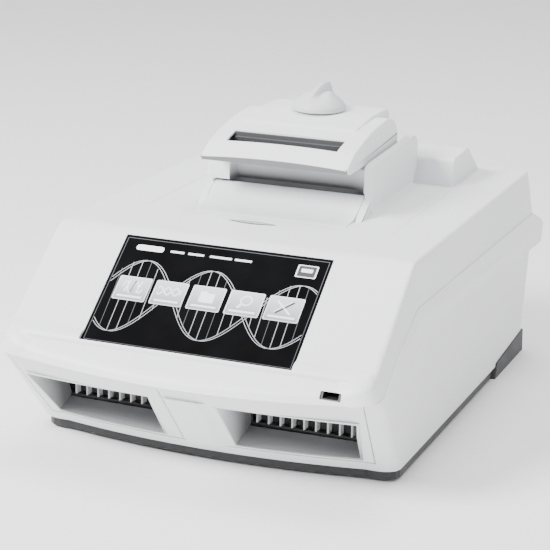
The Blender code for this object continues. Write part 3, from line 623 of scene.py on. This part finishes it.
# -------------------- lower housing and front panel
def bumper_reach(point):
    """How far the bumper stands out beside a point of the seam's level line."""
    if abs(point.x) < SEAM_HALF - 12 and point.y > 0:
        return 0
    if point.y > 200:
        return BUMPER * min(1, 0.5 + 0.5 * (abs(point.x) - SEAM_HALF + 9) / 9)
    if point.y > 60:
        return BUMPER
    reach = between(1.2, BUMPER, max(0, (point.y + 195) / 255))
    return reach if abs(point.x) > SEAM_HALF - 1 else 0


def swell(drop, crisp):
    """Share of the bumper's reach at a drop below the seam."""
    share = min(1, drop / BUMPER_TALL)
    rise = min(1, share / 0.22)
    fall = min(1, (1 - share) / between(0.75, 0.3, crisp))
    return math.sin(math.pi / 2 * rise) * eased(fall)


def housing_rings():
    """Level lines from above the seam down to the foot, with the bumper under the seam."""
    top, bottom = seam_line(1, 2.2), base_line()
    rings = [ring([point + Vector((0, 0, 5)) for point in top])]
    for drop in (0, 0.8, 2, 4, 6.5, 9.5, 13, 17, 21, 24, 27, 30, BUMPER_TALL):
        points = []
        for high, low in zip(top, bottom):
            point = high.lerp(low, min(1, drop / (high.z - low.z)))
            point.x += swell(drop, limited((high.y + 60) / 240)) * bumper_reach(high)
            points.append(point)
        rings.append(ring(points))
    starts = [min(1, BUMPER_TALL / (high.z - low.z)) for high, low in zip(top, bottom)]
    for share in (0.2, 0.4, 0.6, 0.8, 0.93, 1):
        rings.append(ring([high.lerp(low, between(start, 1, share))
                           for high, low, start in zip(top, bottom, starts)]))
    return rings


def front_trapezoid(grow):
    """Outline of the vented front face, its slanting ends moved out by grow."""
    top, top_half = 90, 145 + grow
    low, low_half = 19 - grow, 136 + grow
    return [(-top_half, top), (top_half, top), (low_half, low), (-low_half, low)]


def rear_foot_space(side):
    outline = [(124, -1), (130, 13.5), (216.5, 21), (219, -1)]
    return prism(f"foot_space_{side}", "x", outline, sorted((side * 136.7, side * 162)))


def make_lower_housing():
    housing = ring_shell("housing_moulding", housing_rings())
    front_hole = prism("front_hole", "y", front_trapezoid(0.4), (-260, -120))
    rear_hole = box("rear_hole", (-139.3, 200, 14), (139.3, 240, 126.3))
    cut(housing, seam_side("over_seam", -GAP, True), front_hole, rear_hole, rear_foot_space(-1),
        rear_foot_space(1))
    return white(housing, "base", "lower_housing")


def vent_shape(name, side, grow, back, reach):
    """The tapered pocket behind a front vent, its walls moved out by grow."""
    top, top_in, top_out = 63.6, 28, 135
    low, low_in, low_out = 22.4, 30, 126
    rise, dip, steps = 9.6 + grow * 0.2, min(0, reach * 0.3), 8
    rings = []
    for step in range(steps + 1):
        x_top = between(top_in - grow, top_out + grow, step / steps)
        x_low = between(low_in - grow, low_out + grow, step / steps)
        front_top = on_face(top) + bowed(LIP_BOW, x_top) + reach
        front_low = on_face(low) + bowed(FOOT_BOW, x_low) + reach
        rings.append([Vector(p) * MM for p in (
            (x_top * side, front_top, top + grow), (x_top * side, back, top + grow),
            (x_low * side, back, low + rise - grow), (x_low * side, front_low, low - grow + dip))])
    return loft(name, rings)


def make_front_panel():
    """Front face with its centre rib and a pocket on each side, lined with painted shade that darkens
    deeper into the pocket.
    """
    panel = ring_shell("vent_panel_moulding", housing_rings())
    extent_of_panel = prism("panel_extent", "y", front_trapezoid(-0.4), (-260, -122))
    combine(panel, "INTERSECT", extent_of_panel, folded=True)
    cut(panel, seam_side("over_seam", -GAP, True))
    combine(panel, "UNION", centre_rib())
    pockets = [vent_shape(f"pocket_{side}", side, 1.3, VENT_BACK, -25) for side in (-1, 1)]
    cut(panel, rib_groove(), *pockets)
    white(panel, "base", "front_vent_panel")
    for side, name in SIDES:
        # Liner in painted shade: light at the pocket's mouth, darker deeper in.
        liner = vent_shape(f"vent_liner_{name}", side, 1.2, VENT_BACK - 4, 0.3)
        cut(liner, vent_shape("liner_space", side, 0, VENT_BACK, -25))
        show(liner, "base", VENT_SHADE, "white_abs")


def rib_groove():
    """Narrow joint beside the bar's left edge, up to the lip."""
    rings = []
    for z in (21, 40, 60, 75.5):
        low, high = on_face(z) - 6, on_face(z) + 2.4
        rings.append(ring_at("z", [(-15.3, low), (-14.1, low), (-14.1, high), (-15.3, high)], z))
    return loft("rib_groove", rings)


def centre_rib():
    """Raised bar between the vents: crisp on its left, sloping away on its right."""
    section = [(-14, 2.5), (-11.4, -2), (-9.5, -3.4), (13, -3.4), (17, -2.4), (24, 2.5)]
    return loft("centre_rib", [ring_at("z", [(x, on_face(z) + depth) for x, depth in section], z)
                               for z in (18.5, 30, 45, 60, 67)])


def make_grille(side, name):
    """Pale upright fins in a black surround at the back of a vent pocket."""
    low, high = extent(f"vent_grille_{name}")
    surround = box(f"grille_surround_{name}", low, high)
    cut(surround, box("surround_hole", (low.x + 4, low.y - 5, 31.5), (high.x - 4, high.y + 5, 63.4)))
    show(soften(surround, 0.4, 2), "base", BLACK, "black_plastic", f"vent_grille_{name}")
    first, pitch, count = 34.5, 9.7, 10
    for i in range(count):
        x, front = side * (first + pitch * i), low.y + 0.1
        outline = rounded([(x - 0.75, front, 0.6), (x + 0.75, front, 0.6), (x + 1.1, high.y, 0.1),
                           (x - 1.1, high.y, 0.1)], 4)
        fin = prism(f"vent_fin_{name}_{i + 1}", "z", outline, (30.5, 64.5))
        show(soften(fin, 0.2, 1, 50), "base", FIN_WHITE, "white_abs")
    mat = box(f"intake_filter_{name}", (low.x + 2, high.y + 0.2, 30), (high.x - 2, high.y + 2.2, 65))
    show(soften(mat, 0.4, 2), "base", RUBBER, "rubber")


# -------------------- screen picture
# Left and right edges of the tiles, as shares of the screen's width
TILES = [(0.040, 0.205), (0.228, 0.390), (0.413, 0.577), (0.600, 0.768), (0.790, 0.960)]
# Heights between which the screen's elements fade: the whole panel and the row of tiles
PANEL_SPAN = (GLASS_LOW.z, GLASS_HIGH.z)
TILE_SPAN = [between(GLASS_HIGH.z, GLASS_LOW.z, share) for share in (0.61, 0.36)]
TILE = glowing("tile_light", (0.62, 0.64, 0.67), (0.22, 0.23, 0.25), 0.25, *TILE_SPAN)
TILE_RIM = glowing("tile_rim", (0.80, 0.81, 0.83), (0.62, 0.63, 0.66), 0.25, *TILE_SPAN)
ICON = glowing("icon_light", (0.92, 0.93, 0.94), (0.85, 0.86, 0.88), 0.35, *TILE_SPAN)
ICON_DARK = glowing("icon_dark", (0.05, 0.05, 0.055), (0.03, 0.03, 0.033), 0, *TILE_SPAN)
LINE_LIGHT = glowing("line_light", (0.45, 0.47, 0.50), (0.30, 0.31, 0.34), 0.15, *PANEL_SPAN)
LINE_DIM = glowing("line_dim", (0.10, 0.105, 0.115), (0.06, 0.062, 0.07), 0.1, *PANEL_SPAN)


def on_glass(u, v):
    """Panel coordinates in millimetres of a place on the screen, u to the right and v down, 0 to 1."""
    half = GLASS_HIGH.x - 3
    return Vector((between(-half, half, u), between(-9.4, -106.8, v)))


def glass_prism(name, outline, lift, thick=0.12):
    """A flat outline laid on the screen glass."""
    base = -0.2 + lift
    piece = prism(name, "z", outline, (base, base + thick))
    piece.data.transform(PANEL)
    return piece


def glass_rect(name, u0, v0, u1, v1, corner, lift, look):
    """A rounded tile on the screen between two places."""
    piece = glass_prism(name, rounded_rect(on_glass(u0, v0), on_glass(u1, v1), corner), lift)
    return show(piece, "base", look, "black_glass")


def glass_line(name, points, width, lift=0.02, look=None):
    """A line of even width along points of the screen."""
    centre = [on_glass(u, v) for u, v in points]
    left, right = [], []
    for i, here in enumerate(centre):
        before, after = centre[max(0, i - 1)], centre[min(len(centre) - 1, i + 1)]
        across = (after - before).normalized().orthogonal() * width / 2
        left.append(here + across)
        right.append(here - across)
    piece = glass_prism(name, left + right[::-1], lift, 0.1)
    return show(piece, "base", look or LINE_LIGHT, "black_glass")


def helix_height(u, phase):
    """v of one strand of the double wave drawn across the screen."""
    return 0.55 + between(0.36, 0.30, u) * math.sin(2 * math.pi * (1.28 * u + phase))


def make_helix():
    """Two double-lined waves across the screen, with rungs between them."""
    first, second, steps = 0.13, 0.56, 60
    for number, phase in enumerate((first, second), 1):
        for edge in (-0.008, 0.008):
            heights = [helix_height(i / steps + edge, phase) for i in range(steps + 1)]
            points = [(i / steps, min(0.99, max(0.02, v))) for i, v in enumerate(heights)]
            glass_line(f"helix_strand_{number}_{'a' if edge < 0 else 'b'}", points, 0.55)
    for i in range(22):
        u = 0.03 + i * 0.044
        ends = sorted((helix_height(u, first), helix_height(u + 0.02, second)))
        low, high = max(0.03, ends[0]), min(0.98, ends[1])
        if high - low > 0.08:
            glass_line(f"helix_rung_{i + 1}", [(u, low), (u + 0.012, high)], 0.5, 0.01,
                       LINE_LIGHT if i % 3 else LINE_DIM)


def make_tiles():
    for number, (left, right) in enumerate(TILES, 1):
        glass_rect(f"tile_rim_{number}", left, 0.37, right, 0.60, 1.6, 0.10, TILE_RIM)
        glass_rect(f"tile_{number}", left + 0.006, 0.378, right - 0.006, 0.592, 1.2, 0.16, TILE)
        glass_rect(f"tile_bar_{number}", left + 0.02, 0.553, right - 0.02, 0.570, 0.5, 0.22, ICON)
    make_icons([(left + right) / 2 for left, right in TILES])


def icon_line(name, points, width=0.9, look=None):
    return glass_line(name, points, width, 0.24, look or ICON)


def make_icons(centres):
    """One plain sign on each tile: a curve, a wave, a folder, a lens and crossed tools."""
    curve, wave, folder, lens, tools = centres
    points = [(curve - 0.05 + i * 0.005, 0.47 - 0.055 * math.sin(i * 0.62)) for i in range(21)]
    icon_line("icon_curve", points)
    for i in range(3):
        u = curve - 0.035 + i * 0.03
        icon_line(f"icon_bar_{i + 1}", [(u, 0.52), (u + 0.012, 0.41)], 1.3, ICON_DARK if i == 1 else ICON)
    for row in (-1, 1):
        points = [(wave - 0.06 + i * 0.005, 0.465 + row * 0.022 + row * 0.016 * math.sin(i * 0.78))
                  for i in range(25)]
        icon_line(f"icon_wave_{row + 2}", points, 1.1)
    body = [(folder - 0.035, 0.42, 0.6), (folder - 0.005, 0.42, 0.4), (folder + 0.002, 0.435, 0.4),
            (folder + 0.038, 0.435, 0.6), (folder + 0.038, 0.525, 0.8), (folder - 0.035, 0.525, 0.8)]
    flat = [(*on_glass(u, v), reach) for u, v, reach in body]
    show(glass_prism("icon_folder", rounded(flat, 3), 0.24), "base", ICON, "black_glass")
    points = [(lens + 0.004 + 0.026 * math.cos(i * 0.3), 0.455 + 0.043 * math.sin(i * 0.3))
              for i in range(22)]
    icon_line("icon_lens", points, 1.2)
    icon_line("icon_lens_grip", [(lens - 0.012, 0.49), (lens - 0.03, 0.53)], 2)
    icon_line("icon_tool_1", [(tools - 0.04, 0.415), (tools + 0.035, 0.53)], 1.5)
    icon_line("icon_tool_2", [(tools + 0.04, 0.415), (tools - 0.035, 0.53)], 1.5, ICON_DARK)
    icon_line("icon_tool_3", [(tools + 0.03, 0.41), (tools - 0.045, 0.52)], 0.7)


def make_screen():
    half, thick = GLASS_HIGH.x, 1.7
    outline = rounded_rect((-half, GLASS_FAR), (half, GLASS_NEAR), 1.2)
    glass = glass_prism("screen_glass", outline, -thick, thick)
    show(soften(glass, 0.25, 2), "base", GLASS, "black_glass", "touch_glass")
    border = [(-0.005, -0.005), (1.005, -0.005), (1.005, 1.005), (-0.005, 1.005), (-0.005, -0.005)]
    for i in range(4):
        glass_line(f"screen_border_{i + 1}", border[i:i + 2], 0.5, 0, LINE_DIM)
    make_helix()
    make_tiles()
    glass_rect("title_pill", 0.055, 0.052, 0.195, 0.105, 2.4, 0.05, ICON)
    for i, (low, high) in enumerate(((0.23, 0.30), (0.32, 0.40), (0.43, 0.54), (0.555, 0.64)), 1):
        glass_rect(f"title_bar_{i}", low, 0.073, high, 0.093, 0.5, 0.05, TILE_RIM)
    glass_rect("corner_tile_rim", 0.865, 0.05, 0.965, 0.17, 1.2, 0.08, TILE_RIM)
    glass_rect("corner_tile", 0.873, 0.060, 0.957, 0.16, 0.9, 0.14, ICON_DARK)
    glass_rect("corner_mark", 0.887, 0.085, 0.943, 0.12, 0.7, 0.2, ICON)


def make_status_light():
    low, high = extent("status_light")
    lamp = prism("status_lens", "z", lens_outline(21.3, 4.1), (low.z, high.z))
    show(soften(lamp, 0.5, 3), "base", SMOKED, "light_pipe", "status_light")
    inlay = prism("status_inlay", "z", lens_outline(17, 2.8), (high.z - 0.1, high.z + 0.08))
    show(inlay, "base", LAMP, "light_pipe")


# -------------------- reaction module
# Heights of the finger recess, which starts above the swing of the flap in front of it
RECESS_BOTTOM, RECESS_TOP = 184.3, 202.2


def make_module():
    """The lift-out module's deck, with what stands on it."""
    rear, front = HALF_DEPTH - 0.5, BAY_FRONT + GAP
    side, inner = BAY_HALF - GAP, 66.4
    deck_slab("deck_left", (-side, -inner), (front, rear), "module_cover")
    deck_slab("deck_right", (inner, side), (front, rear))
    deck_slab("deck_front", (-inner, inner), (front, -38.5))
    deck_slab("deck_rear", (-inner, inner), (100, rear))
    pocket = box("bar_pocket", (-70, -41.3, 154.5), (70, 16.5, 164))
    cut(pocket, box("pocket_space", (-66.6, -38.6, 157.5), (66.6, 16, 180)))
    white(soften(pocket, 0.4, 2), "module")
    skirt = box("module_skirt", (-105.6, rear - WALL, 131), (105.6, rear - 0.2, REAR_Z - 3))
    white(soften(skirt, 1, 3), "module")
    make_surround()
    for side, name in SIDES:
        make_cheek(side, name)
    make_hump()
    make_lock_bar()


def deck_slab(name, across, reach, *replaced):
    """A plate of the module's deck, level with the cover."""
    outline = [(y, deck_z(y)) for y in reach] + [(y, deck_z(y) - WALL) for y in reach[::-1]]
    white(soften(prism(name, "x", outline, across), 0.4, 2), "module", *replaced)


def recess_depth(x):
    """Share of its full depth that the recess has at x: a square left end, a curved right end."""
    return eased(limited((x + 52.5) / 5 if x < 0 else (78 - x) / 30))


def recess_front(x, shift=0):
    """Front of the block's surround at x from bottom to top, bulging forward in its upper half."""
    share = recess_depth(x)
    front = 3.9 + share * (11.6 + shift)
    return [(front, RECESS_BOTTOM), (front - 1.6 * share, 187), (front - 2.8 * share, 192),
            (front - 2.6 * share, 196.5), (front - 1 * share, 200), (front + 1, RECESS_TOP)]


def stations(start, pitch, count):
    return [start + pitch * i for i in range(count)]


def make_surround():
    """Wall round the block, hollowed in front where fingers reach under the lid's lip, with painted shade
    on a lining of the hollow and on a dark strip at its foot.
    """
    rear = 102
    rim = [(96, RECESS_TOP), (97, 197), (rear, 197), (rear, RECESS_BOTTOM)]
    places = [-72.4, -60, -53.5, *stations(-52.5, 0.5, 11), -46, *stations(-40, 4, 28), 72.4]
    wall = loft("block_surround", [ring_at("x", recess_front(x, 1.2) + rim, x) for x in places])
    front, back = BLOCK_LOW.y - 2.2, BLOCK_HIGH.y + 2.3
    cut(wall, box("block_hole", (-57, front, 150), (57, back, 260)),
        box("catch_hole", (-9, 17.3, 190), (9, 19.6, 260)))
    white(wall, "module", crisp=50)
    lower = box("surround_base", (-69, 16.8, 163), (69, rear, RECESS_BOTTOM))
    cut(lower, box("base_hole", (-62.6, front, 150), (62.6, back, 260)))
    white(lower, "module")
    # Dark strip of painted shade at the foot of the recess, behind the flap.
    foot_shade = box("recess_shade_strip", (-65, 16.5, 176), (65, 16.9, RECESS_BOTTOM - 0.1))
    show(foot_shade, "module", LIP_SHADE, "white_abs")
    # Lining of the hollow in painted shade, dark at the bottom and light towards the top.
    rings = []
    for x in [*stations(-52.4, 0.5, 11), *stations(-46, 4, 28), 66]:
        face = recess_front(x)
        rings.append(ring_at("x", face + [(y + 0.9, z) for y, z in face[::-1]], x))
    show(loft("recess_shade_lining", rings), "module", RECESS_SHADE, "white_abs", crisp=60)


def make_cheek(side, name):
    """Cheek that carries the lid's hinge, its flared foot and the end of the ramp beside the flap."""
    outline = rounded([(3, 164, 0), (4.4, 207.2, 3), (14, 208.6, 5), (88, 211.6, 14),
                       (113, 214, 5), (121.5, 209.5, 3.5), (123.8, 198, 4), (122.5, 189, 4),
                       (110, 164, 0)])
    cheek = prism(f"hinge_cheek_{name}", "x", outline, sorted((side * 65.5, side * 73)))
    inner, outer = sorted((side * 60, side * 66.6))
    cut(cheek, cylinder("pin_bore", "x", HINGE.yz, 3.3, (-71, 71)),
        box("flap_room", (inner, -38.6, 150), (outer, 16.6, RECESS_BOTTOM)))
    white(soften(cheek, 1.4, 4, 60), "module")
    rings = []
    for reach, flare, z in ((82, 8, 165.9), (77.5, 4, 166.9), (74.9, 1.6, 169.2),
                            (73.6, 0.4, 172), (72.8, 0, 172.3)):
        front, rear = 4 - flare, 110 + flare
        corners = ((reach, front), (reach, rear), (68, rear), (68, front))
        rings.append(ring_at("z", [(side * x, y) for x, y in corners], z))
    white(loft(f"cheek_foot_{name}", rings), "module", crisp=30)
    outline = rounded([(-21, 164, 0), (-17, 167.3, 8), (4, 180.6, 4), (9, 181.6, 1),
                       (9, 164, 0)])
    ramp_end = prism(f"ramp_end_{name}", "x", outline, sorted((side * 66.25, side * 72.4)))
    white(soften(ramp_end, 0.5, 3, 50), "module")


def make_hump():
    """Rear hump with cooling grooves across its front, drawn as grey strips of painted shade."""
    outline = rounded([(129, 163, 0), (131.5, 191.5, 4), (174, 194, 6), (213, 165.5, 0)])
    hump = prism("module_hump", "x", outline, (-104, 104))
    white(soften(hump, 1.8, 4, 60), "module")
    for i in range(6):
        z = 172 + 3 * i
        # Each groove is a grey strip a little proud of the hump: painted shade in place of a cut.
        groove = box(f"hump_groove_{i + 1}", (-60, 129.6 + 0.09 * (z - 163), z), (60, 131.5, z + 1))
        show(soften(groove, 0.3, 1), "module", SOFT_GREY, "white_abs")


def make_lock_bar():
    """Sloping flap in front of the block, rounded about its pivot."""
    low, high = extent("module_lock_bar")
    pivot, around, bore = Vector((11, 171)), 4.6, 2.3
    turns = [math.radians(5 + 17 * i) for i in range(12)]
    arc = [(pivot.x + around * math.sin(t), pivot.y + around * math.cos(t)) for t in turns]
    top = rounded([(-38, 161.8, 0.6), (-38, 166.5, 1.2), (-17, 167.4, 12), (4.6, 181.3, 4),
                   (7.4, 181.9, 1.2), (9.2, 176.6, 0)])
    under = [(-4, 165), (-26, 163.2), (-30, 161.8)]
    bar = prism("lock_flap", "x", [*top, *arc, *under], (low.x, high.x))
    cut(bar, cylinder("flap_bore", "x", pivot, bore, (low.x - 1, high.x + 1)))
    white(soften(bar, 0.25, 2, 60), "lock_bar", "module_lock_bar")


def make_block():
    """Silver block with a tapered well at each of 8 x 12 places."""
    pitch, rows, columns = 9, 8, 12
    middle_y = (BLOCK_LOW.y + BLOCK_HIGH.y) / 2
    block = box("machined_block", BLOCK_LOW, BLOCK_HIGH)
    wells = bmesh.new()
    for row in range(rows):
        for column in range(columns):
            well = bmesh.ops.create_cone(wells, cap_ends=True, segments=18, radius1=1.6 * MM,
                                         radius2=3.1 * MM, depth=15 * MM)["verts"]
            x, y = (column - 5.5) * pitch, middle_y + (row - 3.5) * pitch
            bmesh.ops.translate(wells, vec=Vector((x, y, BLOCK_HIGH.z - 6.5)) * MM, verts=well)
    cut(block, make_object("wells", wells))
    show(soften(block, 0.35, 2, 60), "module", SILVER, "silver_block", "sample_block")


# -------------------- lid
def lid_outline(x):
    """Section of the lid at x: lip, crowned top, rounded rear and flat underside."""
    share = 1 - (x / LID_HALF) ** 2
    crown = 4.2 * share - 2.4
    bottom = HINGE.z + 1.3
    return rounded([
        (-28, 206.8, 0.4), (-31, 209.9 + 2.6 * share, 0.5), (-14, 221.6 + 0.5 * crown, 8),
        (30, 231, 12), (72, 234.5, 9), (88, 230.5, 7), (97, 221, 6), (98.6, 213, 4),
        (95.5, bottom, 2), (-22, bottom, 1.5)])


def lid_ring(x):
    """The lid's section at x, drawn in where its ends are rounded over."""
    edge, points = 1.4, []
    rounding = edge - math.sqrt(max(0, edge ** 2 - max(0, abs(x) - LID_HALF + edge) ** 2))
    for y, z in lid_outline(x):
        middle_z = between(208.6, 218, limited((y + 31) / 50))
        z += max(-rounding, min(rounding, middle_z - z))
        y += max(-rounding, min(rounding, 35 - y))
        taper = 1 - 0.022 * limited((y + 31) / 130)
        points.append(Vector((x * taper, y, z)) * MM)
    return points


def make_lid():
    """Lid shell: lip, finger slot, raised spine and hinge eyes."""
    places = [LID_HALF * math.sin(math.pi / 2 * (step / 20 - 1)) for step in range(41)]
    lid = loft("lid_moulding", [lid_ring(x) for x in places])
    spine = rounded([(14, 222, 0), (24, 231, 6), (62, 236, 10), (104, 236, 3),
                     (109, 232, 2), (109, 210.5, 1), (80, 210.5, 0), (60, 222, 0)])
    combine(lid, "UNION", soften(prism("spine", "x", spine, (-51, 51)), 2.2, 4, 55), folded=True)
    room = [(-24, 200), (-24, 209.5), (-16, 217), (-5, 221.7), (8, 224.7), (30, 229.2),
            (72, 231.3), (82, 229), (91, 223.5), (95, 214), (92.5, 200)]
    hollow = [(40, 226), (60, 233), (103, 233), (106, 230.5), (106, 200), (70, 200)]
    slot = [(-13.4, 245), (-13.4, 209.5), (4.3, 209.5), (6.8, 226), (9.7, 245)]
    inside = LID_HALF - WALL - 1.6
    cut(lid, prism("room", "x", room, (-inside, inside)), prism("spine_room", "x", hollow, (-48, 48)),
        prism("slot", "x", slot, (-48.2, 48.2)),
        cylinder("screw_hole", "z", KNOB_CENTRE, 4.5, (220, 245)))
    white(lid, "lid", "lid_shell", crisp=42)
    for side, name in SIDES:
        make_hinge_eye(side, name)
    make_slot_walls()
    # Grey strip of painted shade on the lip's downward-facing front.
    make_lip_shade_strip()


def make_lip_shade_strip():
    """Grey strip of painted shade let into the downward-facing front of the lip, thick in the middle."""
    half, steps, rings = 63.2, 32, []
    for step in range(steps + 1):
        x = between(-half, half, step / steps)
        share = 1 - (x / LID_HALF) ** 2
        low, high = Vector((-28.3, 206.9)), Vector((-31.05, 209.75 + 2.6 * share))
        top, out = low.lerp(high, 0.97), (high - low).orthogonal().normalized() * 0.25
        rings.append(ring_at("x", [low + out, top + out, top - 6 * out, low - 6 * out], x))
    show(loft("lip_shade_strip", rings), "lid", LIP_SHADE, "white_abs")


def make_hinge_eye(side, name):
    """Eye round the hinge pin, on a strap at the lid's back."""
    low, high = sorted((side * 34, side * 46))
    eye = prism(f"hinge_eye_{name}", "x", rounded([
        (104.7, 203, 0), (109.2, 203, 0), (109.2, 213, 1), (104.7, 213, 1)]), (low, high))
    combine(eye, "UNION", cylinder("barrel", "x", HINGE.yz, 5.4, (low, high)))
    cut(eye, cylinder("eye_bore", "x", HINGE.yz, 3.3, (-60, 60)))
    white(soften(eye, 0.5, 2, 60), "lid")


def make_slot_walls():
    """Front wall and ends of the finger slot, under the lid's skin, in dark grey and black as painted
    shade inside the slot.
    """
    outline = [(-15.4, 208.2), (-15.4, 217.8), (-14, 218.6), (-14, 208.2)]
    # Dark grey painted shade on the slot's front wall.
    show(prism("slot_front_wall", "x", outline, (-50, 50)), "lid", DARK, "white_abs")
    outline = [(-14, 208.2), (-14, 218.6), (-4, 221.5), (2.8, 222), (2.8, 208.2)]
    for side, name in SIDES:
        # Black painted shade on the slot's ends.
        wall = prism(f"slot_end_{name}", "x", outline, sorted((side * 48.4, side * 49.8)))
        show(wall, "lid", BLACK, "white_abs")


# -------------------- knob and lever
KNOB_CENTRE = Vector((0, 72))
KNOB_RADIUS = 23
KNOB_TURN = math.radians(-12)
KNOB_SPOKES, KNOB_RINGS = 128, 44
# Heights of the cone by share of the radius, and of the blade by place along it
KNOB_CONE = [(1, 239.8), (0.97, 241), (0.91, 242.8), (0.74, 246.4), (0.48, 250.9), (0.38, 251.6),
             (0, 251.8)]
KNOB_RIDGE = [(30, 200), (14.2, 200), (13.6, 258.4), (11, 258.8), (4, 258.2), (-4, 255.6),
              (-11, 251.6), (-17, 246.2), (-20.5, 240.5), (-30, 200)]


def knob_height(x, y, radius):
    """Height of the knob's top at a place seen from its axis."""
    across = x * math.cos(KNOB_TURN) + y * math.sin(KNOB_TURN)
    grip = -x * math.sin(KNOB_TURN) + y * math.cos(KNOB_TURN)
    cone, ridge = along(KNOB_CONE, radius / KNOB_RADIUS), along(KNOB_RIDGE, grip)
    drop = 1.1 * max(0, abs(across) - 1.5) ** 1.5
    scoop = 3 * math.exp(-((grip + 8) / 6.5) ** 2 - ((across - 6.5) / 4.5) ** 2)
    return max(cone - scoop, ridge - drop)


def knob_ring(radius, level_z=None):
    """Points round the knob's axis, level or on its shaped top."""
    points = []
    for i in range(KNOB_SPOKES):
        angle = 2 * math.pi * i / KNOB_SPOKES
        x, y = radius * math.cos(angle), radius * math.sin(angle)
        z = level_z or knob_height(x, y, radius)
        points.append(Vector((KNOB_CENTRE.x + x, KNOB_CENTRE.y + y, z)) * MM)
    return points


def make_knob():
    """Steep knob with a blade-like grip that rises towards its back."""
    rings = [knob_ring(KNOB_RADIUS * k / KNOB_RINGS) for k in range(1, KNOB_RINGS + 1)]
    rings += [knob_ring(radius, z) for radius, z in (
        (KNOB_RADIUS, 239), (KNOB_RADIUS, 237.2), (KNOB_RADIUS - 0.8, 236.4), (8, 236.4))]
    show(loft("height_knob", rings), "knob", SOFT_GREY, "light_grey_abs", "knob", crisp=40)


def make_lever():
    """Dark release plate that fills the slot's back."""
    low, high = extent("release_lever")
    outline = rounded([(1.6, 208.6, 0), (4.3, 225, 0.5), (6.3, 225.2, 0.5), (4.2, 210, 0)], 3)
    face = prism("lever_thumb_plate", "x", outline, (low.x - 0.8, high.x + 0.8))
    show(face, "lever", MATT_DARK, "dark_grey_abs")


# -------------------- CAD nodes that stay in view
def dress_cad_nodes():
    """Materials and softened edges for the CAD nodes."""
    slots = {row["node"]: row["material_slot"] for row in frame["record"]["subparts"]}
    wide = {"base_tray": 1.2, "rear_foot_left": 1.4, "rear_foot_right": 1.4, "rear_panel": 0.5}
    for name, node in frame["nodes"].items():
        node.data.materials.clear()
        node.data.materials.append(FOOT if name.startswith("rear_foot") else CAD_LOOKS[slots[name]])
        add_bevel(node, wide.get(name, 0.3), 2, 40)


# -------------------- set, light and camera
# Places in metres, and the lens in millimetres
LAMP_AIM = Vector((0, 0, 0.1))
CAMERA_PLACE = Vector((551.67, -1408.7, 544.48)) * MM
CAMERA_AIM = Vector((-5.55, -7, 110)) * MM
CAMERA_LENS = 124
CAMERA_ROLL = 0.02


def make_stage():
    """Pale floor under an even, pale sky."""
    work = bmesh.new()
    bmesh.ops.create_grid(work, x_segments=1, y_segments=1, size=6)
    floor = make_object("floor", work)
    paper = Look("floor_paper", (0.9, 0.9, 0.9), 0.85)
    paper.feed("Base Color", paper.ramp(paper.noise(300), (0.88, 0.88, 0.88), (0.92, 0.92, 0.92)))
    floor.data.materials.append(paper.material)
    world = bpy.data.worlds.new("studio")
    world.use_nodes = True
    sky = world.node_tree.nodes["Background"]
    sky.inputs["Color"].default_value = (1, 1, 1, 1)
    sky.inputs["Strength"].default_value = 1.12
    bpy.context.scene.world = world


def area_light(name, place, size, power):
    """A round lamp aimed at the instrument."""
    data = bpy.data.lights.new(name, "AREA")
    data.shape = "DISK"
    data.size = size
    data.energy = power
    lamp = bpy.data.objects.new(name, data)
    lamp.location = place
    lamp.rotation_euler = (LAMP_AIM - Vector(place)).to_track_quat("-Z", "Y").to_euler()
    bpy.context.scene.collection.objects.link(lamp)


def make_lights():
    area_light("key", (-1.2, -1.5, 1.7), 0.9, 120)
    area_light("fill", (1.6, -0.9, 0.9), 1.4, 3)
    area_light("top", (0.1, 0.5, 2.2), 1.5, 34)


def make_camera():
    """Front right and a little above, seen from 1.6 m and tilted by about a degree."""
    data = bpy.data.cameras.new("camera")
    data.sensor_width = 36
    data.lens = CAMERA_LENS
    data.clip_end = 20
    camera = bpy.data.objects.new("camera", data)
    forward = (CAMERA_AIM - CAMERA_PLACE).normalized()
    side = forward.cross(Vector((0, 0, 1))).normalized()
    up = side.cross(forward)
    cos, sin = math.cos(CAMERA_ROLL), math.sin(CAMERA_ROLL)
    turn = Matrix((side * cos + up * sin, up * cos - side * sin, -forward)).transposed().to_4x4()
    camera.matrix_world = Matrix.Translation(CAMERA_PLACE) @ turn
    bpy.context.scene.collection.objects.link(camera)
    bpy.context.scene.camera = camera


make_camera()
make_lights()
make_stage()
make_top_cover()
make_lower_housing()
make_front_panel()
for flank, flank_name in SIDES:
    make_grille(flank, flank_name)
make_screen()
make_status_light()
make_module()
make_block()
make_lid()
make_knob()
make_lever()
dress_cad_nodes()
